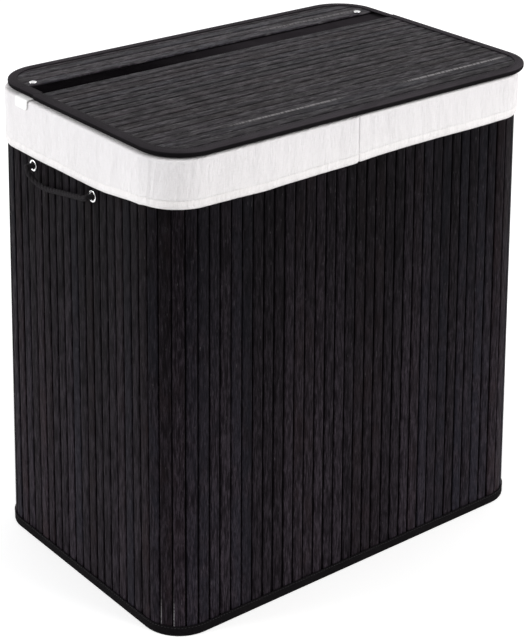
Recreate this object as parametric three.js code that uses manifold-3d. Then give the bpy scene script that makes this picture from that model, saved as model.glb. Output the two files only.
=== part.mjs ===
// Laundry hamper with two bins: a wrap of upright bamboo slats, two cotton bags that fold over its
// rim as a pale cuff, a slatted lid whose front flap opens on a cloth hinge, and two rope handles.
// Millimetres. X is along the long side, the front faces -Y, Z is up, the origin is on the floor
// in the middle of the base.

import * as THREE from 'three';
import { mergeVertices } from 'three/addons/utils/BufferGeometryUtils.js';
import Module from 'manifold-3d';

const wasm = await Module();
wasm.setup();

// Clearances shared by all pieces
const seatGap = 0.3;
const cutOverrun = 6;

// Body outline, on the outer faces of the slats
const baseLength = 530;
const baseDepth = 352;
const wallLean = 10;
const bodyCorner = 45;
const wrapTop = 544;
const cuffDrop = 48.6;

// Slats and the cloth that they are glued to
const slatPitch = 14.3;
const slatThickness = 2.2;
const slatGapWidth = 1.8;
const backingThickness = 0.8;
const seamStripWidth = 36;
const seamStripX = 60;

// Binding tape round the edges of the wrap
const tapeThickness = 0.9;
const bottomTapeHeight = 12;
const topTapeHeight = 16;

// Steel hoop that keeps the rim in shape
const hoopWire = 5;
const hoopDrop = 9;

// Base board and its cloth cover
const boardThickness = 3;
const coverThickness = 0.8;

// Bags
const bagCloth = 1;
const bagInset = 15;
const bagNeckDrop = 17;
const bagSlopeHeight = 24;
const bagFloorRound = 6;
const dividerX = -7;
const dividerGap = 0.6;
const dividerCorner = 5;
const cuffStandoff = 1.6;
const cuffThickness = 1.2;
const cuffHemThickness = 1.8;
const cuffHemHeight = 9;
const cuffRound = 1;
const cuffTuck = 12;

// Lid: a narrow fixed strip at the back and a wide flap in front of it
const lidSideOverhang = 5.5;
const lidEndOverhang = 4.5;
const lidCorner = 50;
const lidShiftX = 6.5;
const lidShiftY = 1;
const rearStripStep = 2;
const rearStripWidth = 62;
const bandWidth = 29;
const lidTapeThickness = 0.9;
const lidTapeWidth = 10;
const lidTapeUnder = 13;
const lidTapePad = 1.1;
const lidTapeRound = 0.9;
const lidBoardThickness = 2.2;
const lidSlatPitch = 13.9;
const lidSlatThickness = 2.2;
const lidBackingThickness = 0.6;
const lidSlatGapWidth = 1.5;
const bandThickness = 1;

// White straps that tie the rear strip to the rim, and their rivets
const strapWidth = 24;
const strapThickness = 0.9;
const strapForward = 12.5;
const strapDrop = 11;
const strapTail = 12;
const rivetEdge = 26;
const rivetShiftX = -3;
const rivetInset = 7.5;
const rivetShankRadius = 1.5;
const rivetHeadRadius = 4.2;
const rivetHeadHeight = 1.4;
const rivetTailRadius = 2.8;
const rivetTailHeight = 0.6;
const rivetWasherRadius = 5;
const rivetWasherThickness = 0.8;

// Rope handles and the eyelets that they pass through
const handleY = 22;
const handleSpan = 115;
const handleDrop = 19.8;
const eyeletBore = 4.3;
const eyeletBarrel = 4.9;
const eyeletFlange = 6.5;
const eyeletDome = 1.3;
const eyeletLip = 5.9;
const eyeletLipThickness = 0.5;
const washerRadius = 7.2;
const washerThickness = 0.8;
const ropeRadius = 3.25;
const ropeReach = 5.8;
const ropeSag = 17;
const ropeWallGap = 1;
const knotRadius = 6.4;
const knotLength = 8.8;

// Facets
const cornerChords = 8;
const hoopSides = 8;
const eyeletSides = 18;
const rivetSides = 16;
const ropeSides = 8;
const ropeBallRings = 5;
const knotSides = 12;
const ropeSteps = 28;

// Heights, and growths (distances outside the slats' faces), that follow from the sizes above
const hemHeight = wrapTop - cuffDrop;
const handleHeight = hemHeight - handleDrop;
const rimLean = 2 * wallLean * wrapTop / hemHeight;
const lidLength = baseLength - rimLean + 2 * lidSideOverhang;
const lidDepth = baseDepth - rimLean + 2 * lidEndOverhang;
const stripFrontY = lidShiftY + lidDepth / 2 - rearStripWidth;
const flapRearY = stripFrontY - bandWidth;
const strapY = stripFrontY - strapForward;
const rivetY = stripFrontY + rivetInset;
const wrapLow = tapeThickness + seatGap;
const wrapInner = -(slatThickness + backingThickness);
const tapeOuter = seatGap + tapeThickness;
const tapeSeat = wrapInner - seatGap;
const tapeInner = tapeSeat - tapeThickness;
const topTapeTop = wrapTop + seatGap + tapeThickness;
const hoopGrowth = tapeInner - seatGap - hoopWire / 2;
const coverTop = boardThickness + seatGap + coverThickness;
const coverOuter = tapeInner - seatGap;
const bagFloor = coverTop + seatGap;
const bagTopGrowth = hoopGrowth - hoopWire / 2 - seatGap;
const cuffUnder = topTapeTop + seatGap;
const cuffTop = cuffUnder + bagCloth;
const cuffOuter = cuffStandoff + cuffThickness;
const strapLow = cuffTop + seatGap;
const strapHigh = strapLow + strapThickness;
const lidUnder = strapHigh + seatGap;
const lidBoardLow = lidUnder + lidTapeThickness + seatGap;
const lidBoardHigh = lidBoardLow + lidBoardThickness;
const lidSlatLow = lidBoardHigh + seatGap;
const lidTop = lidSlatLow + lidBackingThickness + lidSlatThickness;
const rivetHeadLow = lidTop + seatGap;
const rivetHole = rivetShankRadius + seatGap;
const knotSeat = wrapInner - 2 * seatGap - washerThickness - eyeletLipThickness - seatGap;
const ropeAxisReach = ropeReach + seatGap + ropeRadius;

const colours = {
  bamboo: 0x2b2a2c,
  tape: 0x151517,
  cotton: 0xece9e4,
  webbing: 0xf6f5f3,
  chrome: 0xd8dadd,
  wire: 0x9a9ca0,
  board: 0x8c6e4c,
  liningCloth: 0x1d1d20,
  rope: 0x18181a,
};

function material(colour, roughness, metalness) {
  return new THREE.MeshStandardMaterial({ color: colour, roughness, metalness });
}

// Solids from points and triangles

function solidGeometry(points, triangles) {
  const geometry = new THREE.BufferGeometry();
  const corners = points.flatMap((point) => [point.x, point.y, point.z]);
  geometry.setAttribute('position', new THREE.Float32BufferAttribute(corners, 3));
  let volume = 0;
  for (const [a, b, c] of triangles) {
    volume += points[a].dot(points[b].clone().cross(points[c]));
  }
  const facing = volume < 0 ? triangles.map(([a, b, c]) => [a, c, b]) : triangles;
  geometry.setIndex(facing.flat());
  return geometry;
}

function joinRings(first, second, size, triangles) {
  for (let i = 0; i < size; i++) {
    const j = (i + 1) % size;
    triangles.push([first + i, first + j, second + j]);
    triangles.push([first + i, second + j, second + i]);
  }
}

// A closed section carried all the way round: the last section joins the first.
function roundLoft(sections) {
  const size = sections[0].length;
  const triangles = [];
  for (let i = 0; i < sections.length; i++) {
    joinRings(i * size, ((i + 1) % sections.length) * size, size, triangles);
  }
  return solidGeometry(sections.flat(), triangles);
}

// Rings stacked from one pole to another.
function poleLoft(rings, lowPole, highPole) {
  const size = rings[0].length;
  const points = [...rings.flat(), lowPole, highPole];
  const triangles = [];
  for (let i = 0; i + 1 < rings.length; i++) {
    joinRings(i * size, (i + 1) * size, size, triangles);
  }
  const last = (rings.length - 1) * size;
  for (let i = 0; i < size; i++) {
    const j = (i + 1) % size;
    triangles.push([j, i, points.length - 2]);
    triangles.push([last + i, last + j, points.length - 1]);
  }
  return solidGeometry(points, triangles);
}

// Cutting and joining

function toSolid(geometry) {
  const bare = geometry.clone();
  bare.deleteAttribute('normal');
  bare.deleteAttribute('uv');
  const merged = mergeVertices(bare);
  return new wasm.Manifold(new wasm.Mesh({
    numProp: 3,
    vertProperties: new Float32Array(merged.attributes.position.array),
    triVerts: new Uint32Array(merged.index.array),
  }));
}

function toGeometry(solid) {
  const mesh = solid.getMesh();
  const geometry = new THREE.BufferGeometry();
  geometry.setAttribute('position', new THREE.BufferAttribute(mesh.vertProperties, 3));
  geometry.setIndex(new THREE.BufferAttribute(mesh.triVerts, 1));
  return geometry;
}

function cut(geometry, tools) {
  return toGeometry(tools.reduce((solid, tool) => solid.subtract(toSolid(tool)), toSolid(geometry)));
}

function common(geometry, other) {
  return toGeometry(toSolid(geometry).intersect(toSolid(other)));
}

function union(geometry, others) {
  return toGeometry(others.reduce((solid, other) => solid.add(toSolid(other)), toSolid(geometry)));
}

function block(low, high) {
  const size = high.clone().sub(low);
  const middle = low.clone().add(high).multiplyScalar(1 / 2);
  return new THREE.BoxGeometry(size.x, size.y, size.z).translate(middle.x, middle.y, middle.z);
}

// The part of the hamper's room between two Y values, and its part on one side of the divider
function slab(lowY, highY) {
  const low = new THREE.Vector3(-baseLength, lowY, 0);
  return block(low, new THREE.Vector3(baseLength, highY, lidTop + cutOverrun));
}

function dividerSide(side) {
  const near = dividerX + side * dividerGap / 2;
  const far = side * baseLength;
  const low = new THREE.Vector3(Math.min(near, far), -baseDepth, 0);
  return block(low, new THREE.Vector3(Math.max(near, far), baseDepth, cuffTop + cutOverrun));
}

function upright(radius, low, high, x, y, sides) {
  const cylinder = new THREE.CylinderGeometry(radius, radius, high - low, sides);
  return cylinder.rotateX(Math.PI / 2).translate(x, y, (low + high) / 2);
}

// Rounded outlines. A station runs from 0 to 8: straight sides are even, corners odd,
// starting with the front side and going round to the right.

function rectangle(middleX, middleY, length, depth, corner) {
  return {
    minX: middleX - length / 2,
    maxX: middleX + length / 2,
    minY: middleY - depth / 2,
    maxY: middleY + depth / 2,
    leftCorner: corner,
    rightCorner: corner,
  };
}

function bodyOutline(height, growth) {
  const change = 2 * (growth - wallLean * height / hemHeight);
  return rectangle(0, 0, baseLength + change, baseDepth + change, bodyCorner + growth);
}

function lidOutline(growth, sideStep) {
  const length = lidLength + 2 * (growth - sideStep);
  return rectangle(lidShiftX, lidShiftY, length, lidDepth + 2 * growth, lidCorner + growth);
}

function cornerPoint(outline, corner, share) {
  const onRight = corner < 2;
  const onBack = corner === 1 || corner === 2;
  const radius = onRight ? outline.rightCorner : outline.leftCorner;
  const x = onRight ? outline.maxX - radius : outline.minX + radius;
  const y = onBack ? outline.maxY - radius : outline.minY + radius;
  const angle = (corner - 1 + share) * Math.PI / 2;
  return new THREE.Vector2(x + radius * Math.cos(angle), y + radius * Math.sin(angle));
}

function outlinePoint(outline, station, height) {
  const side = Math.floor(station) % 8;
  const share = station - Math.floor(station);
  let point;
  if (side % 2 === 1) {
    point = cornerPoint(outline, (side - 1) / 2, share);
  } else {
    const from = cornerPoint(outline, (side / 2 + 3) % 4, 1);
    point = from.lerp(cornerPoint(outline, side / 2, 0), share);
  }
  return new THREE.Vector3(point.x, point.y, height);
}

function sideLengths(outline) {
  const lengths = [];
  for (let side = 0; side < 8; side++) {
    if (side % 2 === 1) {
      const radius = side < 4 ? outline.rightCorner : outline.leftCorner;
      lengths.push(radius * Math.PI / 2);
    } else {
      const from = outlinePoint(outline, side, 0);
      lengths.push(from.distanceTo(outlinePoint(outline, side + 1, 0)));
    }
  }
  return lengths;
}

function stationAt(lengths, distance) {
  let left = distance;
  let side = 0;
  while (side < 7 && left > lengths[side]) {
    left -= lengths[side];
    side += 1;
  }
  return side + Math.min(left / lengths[side], 1);
}

const roundStations = [];
for (let corner = 0; corner < 4; corner++) {
  for (let chord = 0; chord <= cornerChords; chord++) {
    roundStations.push((2 * corner + 1 + chord / cornerChords) % 8);
  }
}

// A section of [growth, height] pairs carried round an outline
function ringSolid(section, outlineAt) {
  return roundLoft(roundStations.map((station) => (
    section.map(([growth, height]) => outlinePoint(outlineAt(height, growth), station, height))
  )));
}

function plate(outline, low, high) {
  const points = roundStations.map((station) => outlinePoint(outline, station, 0));
  const shape = new THREE.Shape(points.map((point) => new THREE.Vector2(point.x, point.y)));
  return new THREE.ExtrudeGeometry(shape, { depth: high - low, bevelEnabled: false }).translate(0, 0, low);
}

// Walls at the ends, where the handles and straps sit

function endWallX(height, growth) {
  return bodyOutline(height, growth).maxX;
}

// Places a turned piece, whose axis is its own Y, on an end wall with that axis pointing outwards.
function onEndWall(geometry, side, y) {
  const out = new THREE.Vector3(side, 0, wallLean / hemHeight).normalize();
  const turn = new THREE.Quaternion().setFromUnitVectors(new THREE.Vector3(0, 1, 0), out);
  geometry.applyQuaternion(turn);
  return geometry.translate(side * endWallX(handleHeight, 0), y, handleHeight);
}

const handleEnds = [['front', -1], ['rear', 1]];
const handleSides = [['left', -1], ['right', 1]];

function handleEndY(end) {
  return handleY + end * handleSpan / 2;
}

// Wrap and what finishes it

function wrapSection(station, growth) {
  return [[growth, wrapLow], [growth, wrapTop], [wrapInner, wrapTop], [wrapInner, wrapLow]].map(
    ([out, height]) => outlinePoint(bodyOutline(height, out), station, height),
  );
}

function slatWrap() {
  const lengths = sideLengths(bodyOutline(wrapTop / 2, 0));
  const round = lengths.reduce((sum, length) => sum + length, 0);
  const count = Math.round(round / slatPitch);
  const pitch = round / count;
  const face = pitch - slatGapWidth;
  const chordLength = bodyCorner * Math.PI / 2 / cornerChords;
  const sections = [];
  for (let slat = 0; slat < count; slat++) {
    const start = slat * pitch + slatGapWidth / 2;
    const onCorner = Math.floor(stationAt(lengths, start + face / 2)) % 2 === 1;
    const chords = onCorner ? Math.ceil(face / chordLength) : 1;
    sections.push(wrapSection(stationAt(lengths, slat * pitch), -slatThickness));
    for (let chord = 0; chord <= chords; chord++) {
      sections.push(wrapSection(stationAt(lengths, start + face * chord / chords), 0));
    }
  }
  const holes = [];
  for (const [, side] of handleSides) {
    for (const [, end] of handleEnds) {
      const length = 2 * (cutOverrun - wrapInner);
      const drill = new THREE.CylinderGeometry(
        eyeletBarrel + seatGap, eyeletBarrel + seatGap, length, eyeletSides,
      );
      holes.push(onEndWall(drill, side, handleEndY(end)));
    }
  }
  return cut(roundLoft(sections), holes);
}

function wrapSeamStrip() {
  const low = bottomTapeHeight + seatGap;
  const high = topTapeTop - topTapeHeight - seatGap;
  const ring = (height) => {
    const near = bodyOutline(height, tapeSeat).maxY;
    const far = near - backingThickness;
    const left = seamStripX - seamStripWidth / 2;
    const right = seamStripX + seamStripWidth / 2;
    return [[left, far], [right, far], [right, near], [left, near]].map(
      ([x, y]) => new THREE.Vector3(x, y, height),
    );
  };
  const middle = (points) => (
    points.reduce((sum, point) => sum.add(point), new THREE.Vector3()).divideScalar(points.length)
  );
  const rings = [ring(low), ring(high)];
  return poleLoft(rings, middle(rings[0]), middle(rings[1]));
}

function bottomBinding() {
  return ringSolid([
    [tapeOuter, 0],
    [tapeOuter, bottomTapeHeight],
    [seatGap, bottomTapeHeight],
    [seatGap, tapeThickness],
    [tapeSeat, tapeThickness],
    [tapeSeat, bottomTapeHeight],
    [tapeInner, bottomTapeHeight],
    [tapeInner, 0],
  ], bodyOutline);
}

function topBinding() {
  const low = topTapeTop - topTapeHeight;
  const seat = wrapTop + seatGap;
  return ringSolid([
    [tapeInner, low],
    [tapeInner, topTapeTop],
    [tapeOuter, topTapeTop],
    [tapeOuter, low],
    [seatGap, low],
    [seatGap, seat],
    [tapeSeat, seat],
    [tapeSeat, low],
  ], bodyOutline);
}

function rimHoop() {
  const section = [];
  for (let i = 0; i < hoopSides; i++) {
    const angle = (i + 1 / 2) * 2 * Math.PI / hoopSides;
    const growth = hoopGrowth + hoopWire / 2 * Math.cos(angle);
    section.push([growth, wrapTop - hoopDrop + hoopWire / 2 * Math.sin(angle)]);
  }
  return ringSolid(section, bodyOutline);
}

function baseBoard() {
  return plate(bodyOutline(0, coverOuter - coverThickness - seatGap), 0, boardThickness);
}

function baseCover() {
  const ring = ([growth, height]) => roundStations.map(
    (station) => outlinePoint(bodyOutline(0, growth), station, height),
  );
  const inner = coverOuter - coverThickness;
  const rings = [
    [inner, coverTop - coverThickness],
    [inner, seatGap],
    [coverOuter, seatGap],
    [coverOuter, coverTop],
  ].map(ring);
  const lowPole = new THREE.Vector3(0, 0, coverTop - coverThickness);
  return poleLoft(rings, lowPole, new THREE.Vector3(0, 0, coverTop));
}

// Bags: a sack on each side of the divider, joined to its half of the cuff

function bagOutline(side, height, growth, inset) {
  const outline = bodyOutline(height, growth);
  const near = dividerX + side * (dividerGap / 2 + inset);
  return {
    ...outline,
    minX: side > 0 ? near : outline.minX,
    maxX: side > 0 ? outline.maxX : near,
    leftCorner: side > 0 ? dividerCorner : outline.leftCorner,
    rightCorner: side > 0 ? outline.rightCorner : dividerCorner,
  };
}

function sack(side) {
  const neckLow = wrapTop - bagNeckDrop - bagSlopeHeight;
  const neckHigh = wrapTop - bagNeckDrop;
  const rim = cuffUnder - bagCloth;
  const face = (depth) => [
    [-bagInset - bagFloorRound - depth, bagFloor + depth, bagFloorRound + depth],
    [-bagInset - depth, bagFloor + bagFloorRound, depth],
    [-bagInset - depth, neckLow, depth],
    [bagTopGrowth - depth, neckHigh, depth],
    [bagTopGrowth - depth, rim, depth],
  ];
  const levels = [...face(0), ...face(bagCloth).reverse()];
  const rings = levels.map(([growth, height, inset]) => roundStations.map(
    (station) => outlinePoint(bagOutline(side, height, growth, inset), station, height),
  ));
  const middleX = (dividerX + side * baseLength / 2) / 2;
  const lowPole = new THREE.Vector3(middleX, 0, bagFloor);
  return poleLoft(rings, lowPole, new THREE.Vector3(middleX, 0, bagFloor + bagCloth));
}

function cuffRing() {
  const tuckedShare = 0.2;
  const tuckOuter = bagTopGrowth - tuckedShare * bagCloth;
  const tuckInner = bagTopGrowth - bagCloth + tuckedShare * bagCloth;
  const tuckLow = cuffTop - cuffTuck;
  const hemTop = hemHeight + cuffHemHeight;
  return ringSolid([
    [tuckInner, tuckLow],
    [tuckInner, cuffTop - cuffRound],
    [tuckInner + cuffRound, cuffTop],
    [cuffOuter - cuffRound, cuffTop],
    [cuffOuter, cuffTop - cuffRound],
    [cuffOuter, hemTop],
    [seatGap + cuffHemThickness, hemHeight],
    [seatGap, hemHeight],
    [seatGap, hemTop - cuffHemHeight / 2],
    [cuffStandoff, hemTop],
    [cuffStandoff, cuffUnder],
    [tuckOuter, cuffUnder],
    [tuckOuter, tuckLow],
  ], bodyOutline);
}

function bag(side) {
  return union(sack(side), [common(cuffRing(), dividerSide(side))]);
}

// Lid

function rivetPlaceX(side) {
  return lidShiftX + rivetShiftX + side * (lidLength / 2 - rivetEdge);
}

function rivetDrills() {
  return handleSides.map(([, side]) => (
    upright(rivetHole, cuffUnder - cutOverrun, lidTop + cutOverrun, rivetPlaceX(side), rivetY, rivetSides)
  ));
}

function lidSlats(sideStep, lowY, highY) {
  const outline = lidOutline(-lidTapeWidth, sideStep);
  const low = Math.max(lowY, outline.minY);
  const high = Math.min(highY, outline.maxY);
  const count = Math.round((high - low) / lidSlatPitch);
  const pitch = (high - low) / count;
  const profile = [[low, lidSlatLow], [high, lidSlatLow], [high, lidTop]];
  for (let slat = count - 1; slat > 0; slat--) {
    const groove = low + slat * pitch;
    profile.push([groove + lidSlatGapWidth / 2, lidTop]);
    profile.push([groove, lidTop - lidSlatThickness]);
    profile.push([groove - lidSlatGapWidth / 2, lidTop]);
  }
  profile.push([low, lidTop]);
  const shape = new THREE.Shape(profile.map(([y, z]) => new THREE.Vector2(y, z)));
  const length = outline.maxX - outline.minX + 2 * cutOverrun;
  const comb = new THREE.ExtrudeGeometry(shape, { depth: length, bevelEnabled: false });
  comb.applyMatrix4(new THREE.Matrix4().makeBasis(
    new THREE.Vector3(0, 1, 0),
    new THREE.Vector3(0, 0, 1),
    new THREE.Vector3(1, 0, 0),
  ));
  comb.translate(outline.minX - cutOverrun, 0, 0);
  return common(comb, plate(outline, lidUnder, lidTop + cutOverrun));
}

function lidBoard(sideStep, lowY, highY) {
  const outline = lidOutline(-lidTapeThickness - seatGap, sideStep);
  return common(plate(outline, lidBoardLow, lidBoardHigh), slab(lowY, highY));
}

function lidBinding(sideStep, lowY, highY) {
  const tapeTop = lidSlatLow + lidTapeThickness + lidTapePad;
  const under = lidUnder + lidTapeThickness;
  const section = [
    [-lidTapeUnder, lidUnder],
    [-lidTapeRound, lidUnder],
    [0, lidUnder + lidTapeRound],
    [0, tapeTop - lidTapeRound],
    [-lidTapeRound, tapeTop],
    [seatGap - lidTapeWidth + lidTapeRound, tapeTop],
    [seatGap - lidTapeWidth, tapeTop - lidTapeRound],
    [seatGap - lidTapeWidth, lidSlatLow],
    [-lidTapeThickness, lidSlatLow],
    [-lidTapeThickness, under],
    [-lidTapeUnder, under],
  ];
  const ring = ringSolid(section, (height, growth) => lidOutline(growth, sideStep));
  return common(ring, slab(lowY, highY));
}

function hingeBand() {
  const outline = lidOutline(-lidTapeThickness, rearStripStep);
  const low = new THREE.Vector3(outline.minX, flapRearY + seatGap, lidBoardHigh - bandThickness);
  return block(low, new THREE.Vector3(outline.maxX, stripFrontY - seatGap, lidBoardHigh));
}

// Straps and rivets

// A strap lies under the lid, goes over the rim and hangs outside the cuff. Its patch behind takes
// the rivet.
function strap(side) {
  const inner = cuffOuter + seatGap;
  const outer = inner + strapThickness;
  const end = strapLow - strapDrop;
  const start = side * rivetPlaceX(side) - strapTail;
  const profile = [
    [start, strapLow],
    [endWallX(strapLow, inner), strapLow],
    [endWallX(end, inner), end],
    [endWallX(end, outer), end],
    [endWallX(strapLow, outer), strapLow],
    [endWallX(strapHigh, inner), strapHigh],
    [start, strapHigh],
  ];
  const shape = new THREE.Shape(profile.map(([x, z]) => new THREE.Vector2(side * x, z)));
  const tail = new THREE.ExtrudeGeometry(shape, { depth: strapWidth, bevelEnabled: false });
  tail.rotateX(Math.PI / 2).translate(0, strapY + strapWidth / 2, 0);
  const near = side * start;
  const far = side * (start + 2 * strapTail);
  const patch = block(
    new THREE.Vector3(Math.min(near, far), strapY, strapLow),
    new THREE.Vector3(Math.max(near, far), rivetY + strapTail, strapHigh),
  );
  return cut(union(tail, [patch]), rivetDrills());
}

function turned(profile, sides) {
  return new THREE.LatheGeometry(profile.map(([radius, y]) => new THREE.Vector2(radius, y)), sides);
}

function strapRivet(side) {
  const washerLow = strapLow - seatGap - rivetWasherThickness;
  const tailHigh = washerLow - seatGap;
  const headHigh = rivetHeadLow + rivetHeadHeight;
  const crownShare = 0.65;
  const profile = [
    [0, tailHigh - rivetTailHeight],
    [rivetTailRadius, tailHigh - rivetTailHeight],
    [rivetTailRadius, tailHigh],
    [rivetShankRadius, tailHigh],
    [rivetShankRadius, rivetHeadLow],
    [rivetHeadRadius, rivetHeadLow],
    [crownShare * rivetHeadRadius, rivetHeadLow + crownShare * rivetHeadHeight],
    [0, headHigh],
  ];
  return turned(profile, rivetSides).rotateX(Math.PI / 2).translate(rivetPlaceX(side), rivetY, 0);
}

function rivetWasher(side) {
  const high = strapLow - seatGap;
  const washer = upright(
    rivetWasherRadius, high - rivetWasherThickness, high, rivetPlaceX(side), rivetY, rivetSides,
  );
  return cut(washer, rivetDrills());
}

// Handles

function eyelet(side, end) {
  const lipHigh = wrapInner - seatGap - washerThickness - seatGap;
  const profile = [
    [eyeletBore, seatGap + eyeletDome / 2],
    [eyeletBarrel, seatGap + eyeletDome],
    [(eyeletBarrel + eyeletFlange) / 2, seatGap + eyeletDome],
    [eyeletFlange, seatGap + eyeletDome / 2],
    [eyeletFlange, seatGap],
    [eyeletBarrel, seatGap],
    [eyeletBarrel, lipHigh],
    [eyeletLip, lipHigh],
    [eyeletLip, lipHigh - eyeletLipThickness],
    [eyeletBore, lipHigh - eyeletLipThickness],
    [eyeletBore, seatGap + eyeletDome / 2],
  ];
  return onEndWall(turned(profile.reverse(), eyeletSides), side, handleEndY(end));
}

function eyeletWasher(side, end) {
  const high = wrapInner - seatGap;
  const bore = eyeletBarrel + seatGap;
  const profile = [
    [bore, high - washerThickness],
    [washerRadius, high - washerThickness],
    [washerRadius, high],
    [bore, high],
    [bore, high - washerThickness],
  ];
  return onEndWall(turned(profile, eyeletSides), side, handleEndY(end));
}

function ropeEnd(side, end) {
  const knotShares = [[0.45, 1], [0.85, 0.86], [1, 0.6], [1, 0.35], [0.88, 0.08]];
  const knot = knotShares.map(([radius, depth]) => [radius * knotRadius, knotSeat - depth * knotLength]);
  const profile = [
    [0, knotSeat - knotLength],
    ...knot,
    [ropeRadius, knotSeat],
    [ropeRadius, ropeReach],
    [0, ropeReach],
  ];
  return onEndWall(turned(profile, knotSides), side, handleEndY(end));
}

// The loop hangs from a line through both eyelets' mouths and drops nearer to the rear one.
function ropeLoop(side) {
  const lean = wallLean / hemHeight;
  const axisX = endWallX(handleHeight, 0) + ropeAxisReach * Math.cos(Math.atan(lean));
  const axisZ = handleHeight + ropeAxisReach * Math.sin(Math.atan(lean));
  const drift = ropeAxisReach - ropeRadius - ropeWallGap - lean * ropeSag;
  const routeShares = [
    [-1, 0, 0], [-0.93, -0.1, 0], [-0.75, -0.22, 0.1], [-0.45, -0.42, 0.4], [-0.1, -0.66, 0.75],
    [0.2, -0.86, 0.95], [0.45, -1, 1], [0.66, -0.97, 0.95], [0.84, -0.78, 0.6], [0.95, -0.42, 0.15],
    [1, 0, 0],
  ];
  const route = routeShares.map(([along, drop, inwards]) => new THREE.Vector3(
    side * (axisX - inwards * drift),
    handleY + along * handleSpan / 2,
    axisZ + drop * ropeSag,
  ));
  const section = new THREE.Shape();
  section.absarc(0, 0, ropeRadius, 0, 2 * Math.PI);
  const tube = new THREE.ExtrudeGeometry(section, {
    steps: ropeSteps,
    curveSegments: ropeSides / 2,
    extrudePath: new THREE.CatmullRomCurve3(route),
  });
  const balls = [route[0], route[route.length - 1]].map((point) => (
    new THREE.SphereGeometry(ropeRadius, ropeSides, ropeBallRings).translate(point.x, point.y, point.z)
  ));
  return union(tube, balls);
}

// Assembly

const group = new THREE.Group();

function add(name, geometry, finish) {
  const mesh = new THREE.Mesh(geometry, finish);
  mesh.name = name;
  group.add(mesh);
}

const slatFinish = () => material(colours.bamboo, 0.62, 0);
const tapeFinish = () => material(colours.tape, 0.9, 0);
const cottonFinish = () => material(colours.cotton, 0.95, 0);
const boardFinish = () => material(colours.board, 0.8, 0);
const chromeFinish = () => material(colours.chrome, 0.2, 1);
const ropeFinish = () => material(colours.rope, 0.85, 0);

add('slat_wrap', slatWrap(), slatFinish());
add('wrap_seam_strip', wrapSeamStrip(), material(colours.liningCloth, 0.9, 0));
add('bottom_binding', bottomBinding(), tapeFinish());
add('top_binding', topBinding(), tapeFinish());
add('rim_hoop', rimHoop(), material(colours.wire, 0.35, 1));
add('base_board', baseBoard(), boardFinish());
add('base_cover', baseCover(), material(colours.liningCloth, 0.9, 0));
add('bag_left', bag(-1), cottonFinish());
add('bag_right', bag(1), cottonFinish());

add('lid_rear_slats', cut(lidSlats(rearStripStep, stripFrontY, lidDepth), rivetDrills()), slatFinish());
add('lid_rear_board', cut(lidBoard(rearStripStep, stripFrontY, lidDepth), rivetDrills()), boardFinish());
add('lid_rear_binding', lidBinding(rearStripStep, stripFrontY, lidDepth), tapeFinish());
add('hinge_band', hingeBand(), tapeFinish());
add('lid_flap_slats', lidSlats(0, -lidDepth, flapRearY), slatFinish());
add('lid_flap_board', lidBoard(0, -lidDepth, flapRearY), boardFinish());
add('lid_flap_binding', lidBinding(0, -lidDepth, flapRearY), tapeFinish());

for (const [sideName, side] of handleSides) {
  add(`strap_${sideName}`, strap(side), material(colours.webbing, 0.9, 0));
  add(`strap_rivet_${sideName}`, strapRivet(side), chromeFinish());
  add(`rivet_washer_${sideName}`, rivetWasher(side), chromeFinish());
  add(`rope_loop_${sideName}`, ropeLoop(side), ropeFinish());
  for (const [endName, end] of handleEnds) {
    add(`eyelet_${sideName}_${endName}`, eyelet(side, end), chromeFinish());
    add(`eyelet_washer_${sideName}_${endName}`, eyeletWasher(side, end), chromeFinish());
    add(`rope_end_${sideName}_${endName}`, ropeEnd(side, end), ropeFinish());
  }
}

export default group;
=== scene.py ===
"""Laundry hamper with two bins: slats, cloth, tapes, ropes and fittings, set on the packed model."""

import math
from contextlib import contextmanager

import bmesh
import bpy
import numpy as np
from mathutils import Matrix, Vector, noise


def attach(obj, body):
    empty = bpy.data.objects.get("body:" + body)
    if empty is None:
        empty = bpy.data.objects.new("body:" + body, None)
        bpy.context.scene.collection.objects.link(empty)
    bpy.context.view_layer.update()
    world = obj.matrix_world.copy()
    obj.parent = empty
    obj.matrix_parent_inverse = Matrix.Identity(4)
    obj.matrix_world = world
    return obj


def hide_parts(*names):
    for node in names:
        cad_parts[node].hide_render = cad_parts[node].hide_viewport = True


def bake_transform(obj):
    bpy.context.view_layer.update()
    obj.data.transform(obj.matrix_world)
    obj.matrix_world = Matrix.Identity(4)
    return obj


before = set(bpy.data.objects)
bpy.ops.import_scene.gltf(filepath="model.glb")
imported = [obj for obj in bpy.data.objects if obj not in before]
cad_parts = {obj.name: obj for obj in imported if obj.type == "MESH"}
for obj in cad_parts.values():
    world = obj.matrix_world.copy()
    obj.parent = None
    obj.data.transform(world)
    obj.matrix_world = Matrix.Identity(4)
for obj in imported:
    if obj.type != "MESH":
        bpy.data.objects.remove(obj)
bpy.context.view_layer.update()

bl_info = {
    "name": "Two-bin laundry hamper",
    "version": (1, 0, 0),
    "blender": (4, 5, 0),
    "location": "View3D > Sidebar > Hamper",
    "description": "Builds a slatted laundry hamper with two cloth bins, a flap lid and rope handles",
    "category": "Object",
}

HAMPER = "hamper"
FLAP = "lid_flap"
SIDES = (("left", -1), ("right", 1))
ENDS = (("front", -1), ("rear", 1))
SAME_PLACE = 1e-7  # points of a mesh that are nearer than this are one


# Sizes and colours that a user would change


def length(name, default, description):
    return bpy.props.FloatProperty(
        name=name, description=description, default=default, unit="LENGTH", precision=5
    )


def number(name, default, description):
    return bpy.props.FloatProperty(name=name, description=description, default=default, precision=4)


def position(name, default, description):
    return bpy.props.FloatVectorProperty(
        name=name, description=description, default=default, size=3, subtype="TRANSLATION", unit="LENGTH"
    )


def colour(name, default, description):
    return bpy.props.FloatVectorProperty(
        name=name, description=description, default=default, size=3, min=0, max=1, subtype="COLOR"
    )


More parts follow.
